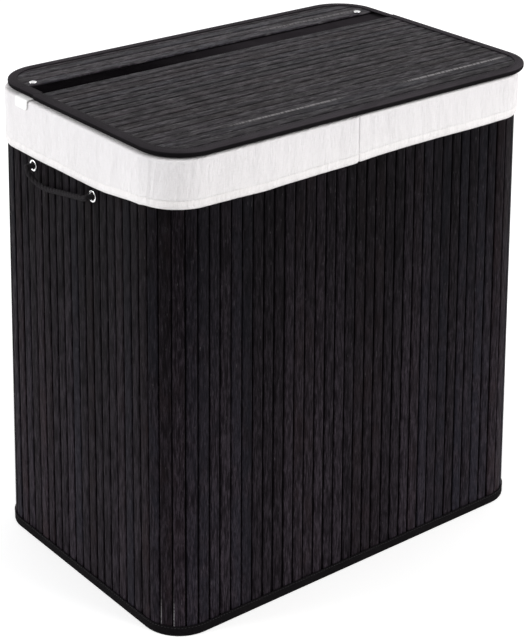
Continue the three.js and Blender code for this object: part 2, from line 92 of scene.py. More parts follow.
class HamperBodySizes(bpy.types.PropertyGroup):
    """Body of slats"""

    base_length: length("Base length", 0.530, "Length across the slats at the floor")
    base_depth: length("Base depth", 0.352, "Depth across the slats at the floor")
    lean: length("Wall lean", 0.010, "How far each wall leans in from the floor to the cuff's hem")
    corner: length("Corner radius", 0.045, "Radius of the body's upright corners")
    top: length("Slat top", 0.544, "Height of the slats' upper ends")
    hem: length("Hem height", 0.4954, "Height of the cuff's hem")
    low: length("Slat foot", 0.0012, "Height of the slats' lower ends")
    pitch: length("Slat pitch", 0.0143, "Distance from one slat to the next")
    cover: number("Slat cover", 0.865, "Share of the pitch that a slat covers")
    thickness: length("Slat thickness", 0.0022, "Thickness of a slat")
    edge_drop: length("Edge drop", 0.0008, "How far a slat's face drops at its edges")
    wander: length("Wander", 0.0004, "How far a slat strays from a straight line")
    backing: length("Backing", 0.0008, "Thickness of the cloth behind the slats")
    tape_height: length("Foot tape", 0.0122, "Height of the tape round the foot")
    seam_x: length("Wrap seam", 0.060, "Place of the wrap's seam on the rear wall")


class HamperLidSizes(bpy.types.PropertyGroup):
    """Lid of two slatted pieces"""

    length: length("Lid length", 0.51904, "Length of the flap over its tapes")
    depth: length("Lid depth", 0.33904, "Depth of the lid over its tapes")
    corner: length("Lid corner", 0.050, "Radius of the lid's corners")
    shift_x: length("Shift to the right", 0.0065, "How far the lid sits to the right of the middle")
    shift_y: length("Shift to the rear", 0.001, "How far the lid sits to the rear of the middle")
    step: length("Strip step", 0.002, "How much shorter the rear strip is at each end")
    strip_front: length("Strip front", 0.10852, "Front edge of the rear strip")
    flap_rear: length("Flap rear", 0.07952, "Rear edge of the flap")
    under: length("Lid underside", 0.548, "Height of the lid's underside")
    board_high: length("Board top", 0.5514, "Height of the boards' upper face")
    top: length("Slat top", 0.5545, "Height of the slats' upper face")
    tape_top: length("Tape top", 0.5553, "Height of the tapes' upper face")
    tape_width: length("Tape width", 0.0104, "Width of the tape on the lid")
    tape_under: length("Tape under the lid", 0.013, "Width of the tape below the lid")
    tape: length("Tape thickness", 0.0009, "Thickness of the tapes, the hinge band and the straps")
    pitch: length("Slat pitch", 0.0139, "Distance from one slat to the next")
    cover: number("Slat cover", 0.925, "Share of the pitch that a slat covers")
    edge_drop: length("Edge drop", 0.0007, "How far a slat's face drops at its edges")
    wander: length("Wander", 0.0003, "How far a slat strays from a straight line")
    slat_inset: length("Slat inset", 0.0012, "How far inside the lid's edge its slats end")


class HamperClothSizes(bpy.types.PropertyGroup):
    """Bags, straps and stitches"""

    cloth: length("Cloth", 0.0009, "Thickness of the bags' cloth")
    divider_x: length("Divider", -0.007, "Place of the divider between the bags")
    divider_gap: length("Divider gap", 0.0008, "Gap between the bags' divider walls")
    floor: length("Bag floor", 0.0049, "Height of the bags' floor")
    inset: length("Bag inset", 0.0155, "How far the bags' walls hang inside the slats' faces")
    neck: length("Neck inset", 0.0103, "How far the bags' necks lie inside the slats' faces")
    cuff_out: length("Cuff standoff", 0.0022, "How far the cuff lies outside the slats' faces")
    cuff_top: length("Cuff top", 0.5461, "Height of the cuff's fold")
    hem_band: length("Hem band", 0.009, "Height of the cuff's hem band")
    fold: length("Fold depth", 0.0042, "Depth of the bags' hanging folds")
    ripple: length("Cuff ripple", 0.0013, "Depth of the cuff's ripples")
    strap_y: length("Strap place", 0.09602, "Middle of the straps along the ends")
    strap_width: length("Strap width", 0.024, "Width of the straps")
    strap_drop: length("Strap drop", 0.011, "How far the straps hang down outside")
    stitch: length("Stitch", 0.0028, "Length of a stitch")
    stitch_pitch: length("Stitch pitch", 0.0038, "Distance from one stitch to the next")


class HamperHandleSizes(bpy.types.PropertyGroup):
    """Rope handles, eyelets and rivets"""

    middle: length("Handle middle", 0.022, "Middle of the handles along the ends")
    span: length("Handle span", 0.115, "Distance between a handle's eyelets")
    height: length("Eyelet height", 0.4756, "Height of the eyelets")
    radius: length("Rope radius", 0.00325, "Radius of the rope")
    lay: length("Rope lay", 0.019, "Length in which the rope's strands turn once")
    reach: length("Rope reach", 0.0058, "How far the rope stands out of its eyelet")
    sag: length("Rope sag", 0.017, "How far a handle hangs below its eyelets")
    wall_gap: length("Wall gap", 0.001, "Gap between a hanging handle and the slats")
    end_gap: length("End gap", 0.0003, "Gap between a handle and the rope's end in its eyelet")
    rivet_x: length("Rivet place", 0.23352, "Distance of the rivets from their middle")
    rivet_middle: length("Rivet middle", 0.0035, "Middle between the two rivets")
    rivet_y: length("Rivet rear", 0.11602, "Place of the rivets along the depth")


class HamperColours(bpy.types.PropertyGroup):
    """Colours of the finishes"""

    slat_dark: colour("Slat, dark", (0.0030, 0.0022, 0.0031), "Dark streaks of the stained slats")
    slat_light: colour("Slat, light", (0.0215, 0.0172, 0.0220), "Pale streaks of the stained slats")
    slat_warm: colour("Slat, warm", (0.0150, 0.0092, 0.0098), "Brown tone of some slats")
    slat_cool: colour("Slat, cool", (0.0100, 0.0105, 0.0150), "Blue tone of some slats")
    slat_scuff: colour("Slat scuffs", (0.100, 0.094, 0.098), "Rubbed marks on the slats")
    # painted highlight: the colour painted along some slat edges where they catch the light
    slat_rubbed: colour("Rubbed slat edge", (0.23, 0.22, 0.225), "Slat edges with the stain rubbed off")
    tape: colour("Tape", (0.0022, 0.0018, 0.0022), "Binding tapes")
    tape_worn: colour("Tape threads", (0.0075, 0.0066, 0.0076), "Raised threads of the tapes")
    # painted light: paler tops on the lid's tapes, and a painted sheen growing towards the hinge band's right
    tape_linty: colour("Lint", (0.0330, 0.0292, 0.0330), "Lint on the lid's tapes and hinge band")
    cotton: colour("Cotton", (0.90, 0.875, 0.875), "Cotton of the bags and cuff")
    cotton_shade: colour("Cotton slubs", (0.72, 0.695, 0.685), "Thicker threads of the cotton")
    cotton_husk: colour("Cotton husks", (0.55, 0.50, 0.42), "Specks of husk in the cotton")
    # painted shade: besides one layer over the dark wall, this grey is painted on the cuff more and more
    # towards its top, under the lid
    cotton_thin: colour("Cotton, one layer", (0.725, 0.71, 0.735), "Cotton where the dark wall shows through")
    webbing: colour("Webbing", (0.93, 0.93, 0.925), "White straps")
    thread_white: colour("White thread", (0.88, 0.875, 0.86), "Stitches of the hem")
    thread_black: colour("Black thread", (0.0075, 0.0068, 0.0076), "Stitches of the tapes")
    lining: colour("Lining cloth", (0.0020, 0.0017, 0.0021), "Cloth behind the slats")
    rope: colour("Rope", (0.0070, 0.0060, 0.0070), "Rope handles")
    rope_worn: colour("Rope yarns", (0.0300, 0.0275, 0.0300), "Raised yarns of the rope handles")
    chrome: colour("Plating", (0.82, 0.82, 0.83), "Eyelets and rivets")
    wire: colour("Wire", (0.42, 0.42, 0.43), "Steel hoop in the rim")
    board: colour("Board", (0.012, 0.0112, 0.0115), "Black faced fibreboard")
    floor: colour("Floor", (0.86, 0.86, 0.86), "Floor under the hamper")


class HamperStage(bpy.types.PropertyGroup):
    """Camera and light"""

    eye: position("Eye", (-1.20168, -1.50121, 1.15949), "Place of the camera")
    yaw: number("Yaw", 38.68, "Degrees that the camera is turned to the right of straight ahead")
    pitch: number("Pitch", -23.49, "Degrees that the camera looks up")
    roll: number("Roll", 0.46, "Degrees that the camera is rolled")
    lens: number("Lens", 101.39, "Focal length in millimetres for a 36 mm sensor")
    shift: number("Shift", -0.09375, "Upright shift of the lens as a share of the picture's long side")
    world: number("Surrounding light", 0.60, "Strength of the even light from all sides")
    key: number("Key light", 79.0, "Power of the large lamp above the front")
    key_place: position("Key light's place", (1.6, -2.8, 2.1), "Place of the lamp above the front")
    key_size: length("Key light's size", 2.0, "Width of the lamp above the front")
    side: number("Side light", 70.0, "Power of the lamp at the left")
    side_place: position("Side light's place", (-2.9, 1.5, 1.6), "Place of the lamp at the left")
    side_size: length("Side light's size", 1.8, "Width of the lamp at the left")
    floor_reach: length("Floor", 14.0, "How far the floor reaches to each side")


GROUPS = (
    (HamperBodySizes, "hamper_body"),
    (HamperLidSizes, "hamper_lid"),
    (HamperClothSizes, "hamper_cloth"),
    (HamperHandleSizes, "hamper_handles"),
    (HamperColours, "hamper_colours"),
    (HamperStage, "hamper_stage"),
)


# Node trees

FLOAT = "NodeSocketFloat"
VECTOR = "NodeSocketVector"
WHOLE = "NodeSocketInt"
SHAPE = "NodeSocketGeometry"
FINISH = "NodeSocketMaterial"


def first_output(made):
    return next(socket for socket in made.outputs if socket.enabled)


class Value:
    """What a node puts out. Sums and products with it are Math nodes of its tree."""

    def __init__(self, tree, socket):
        self.tree, self.socket = tree, socket

    def __add__(self, other):
        return self.tree.math("ADD", self, other)

    def __sub__(self, other):
        return self.tree.math("SUBTRACT", self, other)

    def __rsub__(self, other):
        return self.tree.math("SUBTRACT", other, self)

    def __mul__(self, other):
        return self.tree.math("MULTIPLY", self, other)

    def __truediv__(self, other):
        return self.tree.math("DIVIDE", self, other)

    def __pow__(self, other):
        return self.tree.math("POWER", self, other)

    def __abs__(self):
        return self.tree.math("ABSOLUTE", self)


class Tree:
    """A node tree with short ways to add its nodes and join them"""

    def __init__(self, tree):
        self.tree = tree

    def feed(self, socket, value):
        if isinstance(value, bpy.types.Node):
            value = first_output(value)
        if isinstance(value, Value):
            value = value.socket
        if isinstance(value, bpy.types.NodeSocket):
            self.tree.links.new(value, socket)
        elif socket.type == "RGBA" and len(value) == 3:
            socket.default_value = (*value, 1.0)
        else:
            socket.default_value = value

    def node(self, kind, *values, **settings):
        """A new node with its settings, and with the values on its usable inputs in order"""
        made = self.tree.nodes.new(kind)
        for name, value in settings.items():
            setattr(made, name, value)
        for socket, value in zip([socket for socket in made.inputs if socket.enabled], values):
            self.feed(socket, value)
        return made

    def set(self, made, **values):
        """Sets a node's usable inputs by their names"""
        for name, value in values.items():
            found = (socket for socket in made.inputs if socket.name == name.replace("_", " "))
            self.feed(next(socket for socket in found if socket.enabled), value)
        return made

    def output(self, kind, *values, **settings):
        """The first output of a new node"""
        return Value(self, first_output(self.node(kind, *values, **settings)))

    def outputs(self, made):
        """A node's outputs by their names"""
        return {socket.name: Value(self, socket) for socket in made.outputs}

    def math(self, operation, *values):
        return self.output("ShaderNodeMath", *values, operation=operation)

    def vector(self, operation, *values):
        return self.output("ShaderNodeVectorMath", *values, operation=operation)

    def join(self, x, y, z):
        return self.output("ShaderNodeCombineXYZ", x, y, z)

    def split(self, value):
        return [Value(self, socket) for socket in self.node("ShaderNodeSeparateXYZ", value).outputs]

    def spread(self, value, low, high, to_low=0.0, to_high=1.0):
        """The range from low to high mapped smoothly to another one"""
        ranges = (low, high, to_low, to_high)
        return self.output("ShaderNodeMapRange", value, *ranges, interpolation_type="SMOOTHSTEP")

    def noise(self, place, scale, detail, roughness):
        return self.output("ShaderNodeTexNoise", place, scale, detail, roughness)

    def mix(self, share, first, second):
        return self.output("ShaderNodeMix", share, first, second, data_type="RGBA")

    # only in materials

    def attribute(self, name):
        return self.outputs(self.node("ShaderNodeAttribute", attribute_name=name))

    def object_place(self):
        return self.outputs(self.node("ShaderNodeTexCoord"))["Object"]

    def group(self, name, **values):
        """The outputs of a shared shader group with these values on its inputs"""
        return self.outputs(self.set(self.node("ShaderNodeGroup", node_tree=shader_group(name)), **values))

    def bump(self, height, strength, distance):
        made = self.set(self.node("ShaderNodeBump"), Height=height, Strength=strength, Distance=distance)
        self.set(self.shader, Normal=made)


def new_group(name, kind, inputs):
    """A node group with named inputs, each with its default value or else with its kind of socket."""
    tree = bpy.data.node_groups.new(name, kind)
    for label, default in inputs.items():
        kinds = {int: WHOLE, float: FLOAT, str: default}
        socket = tree.interface.new_socket(label, in_out="INPUT", socket_type=kinds[type(default)])
        if not isinstance(default, str):
            socket.default_value = default
    g = Tree(tree)
    given = g.outputs(tree.nodes.new("NodeGroupInput"))
    g.given = {label: given[label] for label in inputs}
    return g


def close_group(g, kind, results):
    """Gives a node group its outputs, all of one kind."""
    for label in results:
        g.tree.interface.new_socket(label, in_out="OUTPUT", socket_type=kind)
    ends = g.tree.nodes.new("NodeGroupOutput").inputs
    for label, value in results.items():
        g.feed(ends[label], value)


# Shader groups that several finishes share


def streaky_grain(g, place, streak, stretch, fibre):
    """Long streaks and fine fibres along the third axis of the place, in metres."""
    across, row, along = g.split(place)
    row = row * 0.37
    lengthwise = g.join(across, row, along / stretch)
    streaks = g.noise(lengthwise, streak, 3.0, 0.62)
    fibres = g.noise(lengthwise, fibre, 2.0, 0.7)
    blotches = g.noise(g.join(across * 0.5, row, along * 0.35), 60.0, 3.0, 0.6)
    return {
        "Streaks": g.spread(streaks, 0.38, 0.64),
        "Fibres": g.spread(fibres, 0.40, 0.60),
        "Blotches": g.spread(blotches, 0.36, 0.68),
        "Height": fibres * 0.5 + streaks * 0.5,
    }


def plain_weave(g, place, thread, slub):
    """Threads over and under each other on the first two axes of the place, in metres."""
    u, v, _ = g.split(place)
    waves = [g.math("SINE", along / thread * math.pi) for along in (u, v)]
    threads = waves[0] * waves[1] * 0.5 + 0.5
    warp = g.noise(g.join(u * 9.0, v, 0.0), 130.0, 2.0, 0.6)
    weft = g.noise(g.join(u, v * 9.0, 3.0), 130.0, 2.0, 0.6)
    slubs = g.spread(warp * 0.6 + weft * 0.4, 0.40, 0.62)
    body = (abs(waves[0]) + abs(waves[1])) * 0.35
    return {"Threads": threads, "Slubs": slubs, "Height": body + (slubs * slub + threads * 0.3)}


def uneven(g, place, cloud, speck):
    """Soft unevenness of a surface: broad clouds and fine specks, from the place in metres."""
    clouds = g.noise(place, cloud, 3.0, 0.55)
    specks = g.noise(place, speck, 2.0, 0.6)
    return {"Clouds": g.spread(clouds, 0.32, 0.68), "Specks": g.spread(specks, 0.55, 0.75)}


SHADER_GROUPS = {
    "Streaky grain": (streaky_grain, {"Streak": 520.0, "Stretch": 11.0, "Fibre": 1300.0}),
    "Plain weave": (plain_weave, {"Thread": 0.0008, "Slub": 0.5}),
    "Uneven": (uneven, {"Cloud": 18.0, "Speck": 700.0}),
}


def shader_group(name):
    """The shader group of that name, made once. Each takes a place and puts out numbers."""
    if name not in bpy.data.node_groups:
        fill, inputs = SHADER_GROUPS[name]
        g = new_group(name, "ShaderNodeTree", {"Place": VECTOR, **inputs})
        close_group(g, FLOAT, fill(g, *g.given.values()))
    return bpy.data.node_groups[name]


# Finishes


def finish(name, roughness, **constants):
    """A new material's tree, with its material and its Principled shader. Constants sit on the shader."""
    made = bpy.data.materials.new(name)
    made.use_nodes = True
    t = Tree(made.node_tree)
    t.material = made
    t.shader = made.node_tree.nodes["Principled BSDF"]
    t.set(t.shader, Roughness=roughness, **constants)
    return t


def darker(base, share):
    return tuple(part * share for part in base)


def bamboo(c, name, gloss, lift, low_end, scuff_from, fibre, streak, stretch):
    """Stained bamboo: streaks, fibres, a tone and a tint for each slat, scuffed spots, and painted highlights
    along some slat edges. lift says how pale the stain is, and the number after it how much paler the slats
    are painted at the low end of their grain than at its top, as painted shade under the cuff and painted
    light from the floor; there are fewer spots the higher scuff_from is, and fibre says how dark the fibres
    are."""
    t = finish(name, 0.6, Specular_IOR_Level=gloss)
    place = t.attribute("grain")["Vector"]
    tone, tint, paler_part = (t.attribute(label)["Fac"] for label in ("tone", "tint", "rubbed"))
    grain = t.group("Streaky grain", Place=place, Streak=streak, Stretch=stretch, Fibre=streak * 2.5)
    base = t.mix(grain["Streaks"], c.slat_dark, c.slat_light)
    warm = t.spread(tint, 0.60, 0.95) * t.spread(grain["Blotches"], 0.2, 0.9, 0.1, 0.48)
    cool = t.spread(tint, 0.42, 0.08) * t.spread(grain["Blotches"], 0.9, 0.2, 0.1, 0.55)
    base = t.mix(warm, base, c.slat_warm)
    base = t.mix(cool, base, c.slat_cool)
    base = t.mix(grain["Fibres"] * fibre, base, c.slat_dark)
    # painted shade and light: the slats are darker towards their tops, under the cuff, and paler towards the
    # floor
    painted_height_light = t.spread(t.split(place)[2], 0.56, 0.0, 1.0, low_end)
    base = t.vector("SCALE", base, t.spread(tone, 0.0, 1.0, 0.78, 1.26) * lift * painted_height_light)
    scuffs = t.noise(t.vector("MULTIPLY", place, (streak, 40.0, streak / 6)), 1.0, 3.0, 0.7)
    base = t.mix(t.spread(scuffs, scuff_from, scuff_from + 0.16) * 0.5, base, c.slat_scuff)
    breaks = t.noise(t.vector("MULTIPLY", place, (0.0, 40.0, 330.0)), 1.0, 2.0, 0.6)
    # painted highlight along the marked slat edges, broken into dashes
    base = t.mix(paler_part * t.spread(breaks, 0.42, 0.54, 0.35, 1.0), base, c.slat_rubbed)
    rough = grain["Fibres"] * 0.10 + (grain["Streaks"] * -0.14 + 0.60)
    t.set(t.shader, Base_Color=base, Roughness=rough)
    t.bump(grain["Height"], 0.55, 0.0005)
    return t.material


def woven(
    name, base, paler_part, thread=0.0009, rough=0.9, sheen=0.0, gloss=0.05, slub=0.3, height=0.0003, painted_light=None
):
    """Woven cloth on the piece's own UV map, in metres. Its raised threads have a paler colour, and a way,
    where given, says whether painted light lies on the cloth's upper side or grows towards its right."""
    t = finish(name, rough, Specular_IOR_Level=gloss, Sheen_Weight=sheen, Sheen_Roughness=0.5)
    place = t.output("ShaderNodeUVMap")
    weave = t.group("Plain weave", Place=place, Thread=thread, Slub=slub)
    clouds = t.group("Uneven", Place=place)["Clouds"]
    shade = t.mix(weave["Slubs"] * t.spread(clouds, 0.0, 1.0, 0.35, 0.9), base, paler_part)
    shade = t.mix(weave["Threads"] * 0.22, shade, paler_part)
    if painted_light:
        shade = painted_tape_light(t, shade, painted_light, clouds, weave["Threads"])
    t.set(t.shader, Base_Color=shade)
    t.bump(weave["Height"], 0.6, height)
    return t.material


def painted_tape_light(t, shade, way, clouds, threads):
    """Painted light on a tape: a paler tone on its upper side where light falls, or a painted sheen on a band
    more and more towards its right.
    """
    sources = t.outputs(t.node("ShaderNodeTexCoord"))
    x = t.split(sources["Object"])[0]
    # painted light on faces turned upwards, or a painted sheen growing towards the right
    if way == "upward":
        amount = t.spread(t.split(sources["Normal"])[2], -0.05, 0.55, 0.0, 0.95)
    else:
        amount = t.spread(x, -0.13, 0.12, 0.0, 0.5)
    patchy = t.spread(clouds, 0.0, 1.0, 0.75, 1.0) * t.spread(threads, 0.0, 1.0, 0.62, 1.0)
    # the lid's left edge has less of it than its front and rear
    level = t.spread(x, -0.262, -0.215, 1.0, 1.75)
    painted_light = t.vector("SCALE", tuple(bpy.context.scene.hamper_colours.tape_linty), level)
    return t.mix(amount * patchy, shade, painted_light)


def cotton(c):
    """Undyed cotton: a fine weave with slubs and husks, soft creases, and a greyer tone where a single layer
    lets the dark wall show through; on the cuff that grey is also painted shade, stronger towards the lid
    above it."""
    t = finish("Cotton", 0.92, Specular_IOR_Level=0.12, Sheen_Weight=0.08, Sheen_Roughness=0.6)
    place = t.output("ShaderNodeUVMap")
    weave = t.group("Plain weave", Place=place, Thread=0.0007, Slub=0.7)
    clouds = t.group("Uneven", Place=place, Cloud=9.0, Speck=900.0)["Clouds"]
    shade = t.mix(weave["Slubs"] * t.spread(clouds, 0.0, 1.0, 0.17, 0.46), c.cotton, c.cotton_shade)
    shade = t.mix(t.spread(t.noise(place, 420.0, 3.0, 0.7), 0.72, 0.80) * 0.35, shade, c.cotton_husk)
    # greyer where one layer lies on the dark wall, and on the cuff painted shade that grows towards the lid
    shade = t.mix((1.0 - t.attribute("doubled")["Fac"]) * 0.5, shade, c.cotton_thin)
    u, v, _ = t.split(place)
    creases = t.noise(t.join(u, v * 0.22, 0.0), 55.0, 3.0, 0.55)
    t.set(t.shader, Base_Color=shade)
    t.bump(creases * 3.2 + weave["Height"] * 0.22, 1.0, 0.0015)
    return t.material


def rope_finish(c):
    """Black cord: fine yarns wound round each strand."""
    t = finish("Rope", 0.8, Specular_IOR_Level=0.08)
    u, v, _ = t.split(t.output("ShaderNodeUVMap"))
    yarns = t.math("SINE", u * 2400.0 + v * 3600.0)
    fuzz = t.noise(t.join(u, v, 0.0), 1500.0, 2.0, 0.6)
    t.set(t.shader, Base_Color=t.mix(t.spread(yarns * 0.3 + fuzz, 0.2, 1.0), c.rope, c.rope_worn))
    t.bump(yarns * 0.5 + fuzz, 0.5, 0.0003)
    return t.material


def metal(name, base, roughness, brushed):
    """Bright metal with fine scratches and slight spots of tarnish."""
    t = finish(name, roughness, Metallic=1.0)
    place = t.object_place()
    spots = t.group("Uneven", Place=place, Cloud=160.0, Speck=1500.0)
    scratches = t.noise(t.vector("MULTIPLY", place, (900.0, 900.0, 6000.0)), 1.0, 2.0, 0.6)
    rough = scratches * brushed + (spots["Specks"] * 0.12 + roughness)
    t.set(t.shader, Base_Color=t.mix(spots["Clouds"] * 0.35, base, darker(base, 0.72)), Roughness=rough)
    t.bump(scratches, 0.12, 0.00015)
    return t.material


def fibreboard(c):
    """Pressed board with a black face and short paler fibres."""
    t = finish("Fibreboard", 0.75, Specular_IOR_Level=0.08)
    place = t.object_place()
    fibres = t.noise(t.vector("MULTIPLY", place, (260.0, 900.0, 900.0)), 1.0, 3.0, 0.65)
    cloud = t.group("Uneven", Place=place, Cloud=25.0, Speck=600.0)
    share = cloud["Clouds"] * 0.4 + t.spread(fibres, 0.45, 0.75, 0.0, 0.5)
    pale = darker(c.board, 2.1)
    t.set(t.shader, Base_Color=t.mix(share, c.board, pale), Roughness=cloud["Specks"] * 0.15 + 0.7)
    t.bump(fibres, 0.3, 0.0004)
    return t.material


def sewing_thread(name, base):
    """Sewing thread with a fine twist."""
    t = finish(name, 0.6, Specular_IOR_Level=0.3)
    twist = t.noise(t.object_place(), 2600.0, 1.0, 0.5)
    t.set(t.shader, Base_Color=t.mix(t.spread(twist, 0.3, 0.7), base, darker(base, 0.8)))
    t.bump(twist, 0.4, 0.0002)
    return t.material


BODY_GRAIN = {"low_end": 3.4, "scuff_from": 0.60, "fibre": 0.75, "streak": 520.0, "stretch": 11.0}
LID_GRAIN = {"low_end": 1.0, "scuff_from": 0.53, "fibre": 0.9, "streak": 240.0, "stretch": 5.5}
WEBBING = {"thread": 0.0012, "sheen": 0.05, "gloss": 0.15, "slub": 0.5, "height": 0.0004}
FINISHES = {
    "body slats": lambda c: bamboo(c, "Body slats", gloss=0.03, lift=0.50, **BODY_GRAIN),
    "lid slats": lambda c: bamboo(c, "Lid slats", gloss=0.12, lift=1.36, **LID_GRAIN),
    "strip slats": lambda c: bamboo(c, "Strip slats", gloss=0.16, lift=1.9, **LID_GRAIN),
    "tape": lambda c: woven("Tape", c.tape, c.tape_worn),
    # the lid's tapes get painted light on their tops, the hinge band a painted sheen towards its right
    "lid tape": lambda c: woven("Lid tape", c.tape, c.tape_worn, painted_light="upward"),
    "band": lambda c: woven("Hinge band", c.tape, c.tape_worn, gloss=0.0, painted_light="rightward"),
    "lining": lambda c: woven("Lining cloth", c.lining, c.tape_worn, thread=0.0011, rough=0.95, gloss=0.0),
    "cotton": cotton,
    "webbing": lambda c: woven("Webbing", c.webbing, c.thread_white, **WEBBING),
    "white thread": lambda c: sewing_thread("White thread", c.thread_white),
    "black thread": lambda c: sewing_thread("Black thread", c.thread_black),
    "rope": rope_finish,
    "chrome": lambda c: metal("Bright plating", c.chrome, roughness=0.14, brushed=0.05),
    "wire": lambda c: metal("Hoop wire", c.wire, roughness=0.30, brushed=0.15),
    "board": fibreboard,
}
made_finishes = {}


def look(name):
    """The finish of that name, made once."""
    if name not in made_finishes:
        made_finishes[name] = FINISHES[name](bpy.context.scene.hamper_colours)
    return made_finishes[name]


# Outlines


class Outline:
    """A rectangle with rounded corners. A station runs from 0 to 9 anticlockwise, from the middle of the
    rear side: corners are odd, and stations past 9 start again."""

    def __init__(self, low, high, left, right=None):
        """From two opposite corners, and the radius at the left and at the right end"""
        right = left if right is None else right
        (x0, y0), (x1, y1) = self.low, self.high = low, high
        middle = ((x0 + left) + (x1 - right)) / 2
        self.runs = [
            ("line", (middle, y1), (x0 + left, y1)),
            ("arc", (x0 + left, y1 - left), left, 1),
            ("line", (x0, y1 - left), (x0, y0 + left)),
            ("arc", (x0 + left, y0 + left), left, 2),
            ("line", (x0 + left, y0), (x1 - right, y0)),
            ("arc", (x1 - right, y0 + right), right, 3),
            ("line", (x1, y0 + right), (x1, y1 - right)),
            ("arc", (x1 - right, y1 - right), right, 4),
            ("line", (x1 - right, y1), (middle, y1)),
        ]

    def at(self, station):
        """The point and the outward direction at a station"""
        station = station % 9
        kind, *facts = self.runs[int(station)]
        share = station - int(station)
        if kind == "arc":
            (x, y), radius, quarter = facts
            angle = (quarter + share) * math.pi / 2
            way = Vector((math.cos(angle), math.sin(angle), 0))
            return Vector((x, y, 0)) + way * radius, way
        (ax, ay), (bx, by) = facts
        along = Vector((bx - ax, by - ay, 0)).normalized()
        return Vector((ax + (bx - ax) * share, ay + (by - ay) * share, 0)), along.cross(Vector((0, 0, 1)))

    def ring(self, stations, height):
        """The points at stations, at a height"""
        return [(*self.at(station)[0].xy, height) for station in stations]

    def closed_ring(self, step, height):
        """Points all round, no further apart than step, at a height"""
        return self.ring(self.stations(step)[:-1], height)

    def size(self, run):
        kind, *facts = self.runs[run]
        return facts[1] * math.pi / 2 if kind == "arc" else math.dist(*facts)

    def round_it(self):
        return sum(self.size(run) for run in range(9))

    def stations(self, step, first=0.0, last=9.0):
        """Stations from first to last, no further apart than step."""
        found = []
        place = first
        while place < last - 1e-9:
            end = min(math.floor(place) + 1, last)
            whole = self.size(int(place) % 9) * (end - place)
            steps = max(1, math.ceil(whole / step))
            found += [place + (end - place) * i / steps for i in range(steps)]
            place = end
        return [*found, last]

    def station_at_y(self, side, y):
        """The station where the left or right side passes y"""
        run = 2 if side < 0 else 6
        (_, ay), (_, by) = self.runs[run][1:]
        return run + (y - ay) / (by - ay)


def body_outline(height, growth, divider=None):
    """The slats' outer faces at a height, grown outwards. A divider is (side, x, corner radius)."""
    b = bpy.context.scene.hamper_body
    growth_here = growth - b.lean * height / b.hem
    x, y = b.base_length / 2 + growth_here, b.base_depth / 2 + growth_here
    low, high = [-x, -y], [x, y]
    left = right = max(b.corner + growth, 0.001)
    if divider is not None:
        side, place, radius = divider
        if side < 0:
            high[0], right = place, radius
        else:
            low[0], left = place, radius
    return Outline(low, high, left, right)


def lid_outline(growth, step=0.0):
    """The lid's edge, grown outwards and shortened by a step at each end."""
    lid = bpy.context.scene.hamper_lid
    x, y = lid.length / 2 + growth - step, lid.depth / 2 + growth
    low, high = (lid.shift_x - x, lid.shift_y - y), (lid.shift_x + x, lid.shift_y + y)
    return Outline(low, high, lid.corner + growth)


# Meshes


@contextmanager
def edited(mesh):
    """The mesh opened for changes. At the end its faces are turned outwards."""
    made = bmesh.new()
    made.from_mesh(mesh)
    made.verts.ensure_lookup_table()
    yield made
    bmesh.ops.recalc_face_normals(made, faces=made.faces)
    made.to_mesh(mesh)
    made.free()


def face_outwards(mesh):
    with edited(mesh):
        pass
    return mesh


def surface(name, points, around=False, along=False, caps=False):
    """A grid of points, as rows of columns, as a mesh whose UV map is in metres. around joins the last
    column to the first, along the last row to the first, and caps close the ends of a tube's rows."""
    points = np.array(points, float)
    rows, columns = points.shape[:2]
    u_steps, v_steps = grid_lengths(points, around, along)
    mesh = bpy.data.meshes.new(name)
    faces, coordinates = [], []
    for r in range(rows if along else rows - 1):
        for c in range(columns if around else columns - 1):
            s, d = (r + 1) % rows, (c + 1) % columns
            faces.append((r * columns + c, r * columns + d, s * columns + d, s * columns + c))
            for i, j in ((r, c), (r, c + 1), (r + 1, c + 1), (r + 1, c)):
                coordinates += [u_steps[i % len(u_steps)][j], v_steps[j % len(v_steps)][i]]
    if caps:
        for r, ring in ((0, range(columns - 1, -1, -1)), (rows - 1, range(columns))):
            faces.append([r * columns + c for c in ring])
            for c in ring:
                coordinates += [points[r, c, 0], points[r, c, 2]]
    mesh.from_pydata(points.reshape(-1, 3).tolist(), [], faces)
    mesh.uv_layers.new(name="UVMap").data.foreach_set("uv", coordinates)
    return mesh


def grid_lengths(points, around, along):
    """Distances along each row, and up each column, of a grid of points."""
    across = np.concatenate([points, points[:, :1]], axis=1) if around else points
    upwards = np.concatenate([points, points[:1]], axis=0) if along else points
    u = np.linalg.norm(np.diff(across, axis=1), axis=2)
    v = np.linalg.norm(np.diff(upwards, axis=0), axis=2)
    u = np.concatenate([np.zeros((len(u), 1)), np.cumsum(u, axis=1)], axis=1)
    v = np.concatenate([np.zeros((1, v.shape[1])), np.cumsum(v, axis=0)], axis=0)
    return u, v.T


def joined(name, meshes):
    """One mesh out of several."""
    made = bmesh.new()
    for mesh in meshes:
        made.from_mesh(mesh)
    whole = bpy.data.meshes.new("Whole")
    made.to_mesh(whole)
    made.free()
    for mesh in meshes:
        bpy.data.meshes.remove(mesh)
    whole.name = name  # which one of them may have had
    return whole


def piece(mesh, material, body=HAMPER, nodes=(), smooth=True, thickness=None):
    """A finished object of that mesh and its name, which rides on a body and stands for CAD nodes. A
    thickness makes cloth of a surface."""
    made = bpy.data.objects.new(mesh.name, mesh)
    bpy.context.scene.collection.objects.link(made)
    if material is not None:
        mesh.materials.clear()
        mesh.materials.append(look(material))
    mesh.polygons.foreach_set("use_smooth", [smooth] * len(mesh.polygons))
    if nodes:
        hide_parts(*nodes)
    if body:
        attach(made, body)
    if thickness is not None:
        modifier = made.modifiers.new("Thickness", "SOLIDIFY")
        modifier.thickness = thickness
        modifier.offset = 0
    return made


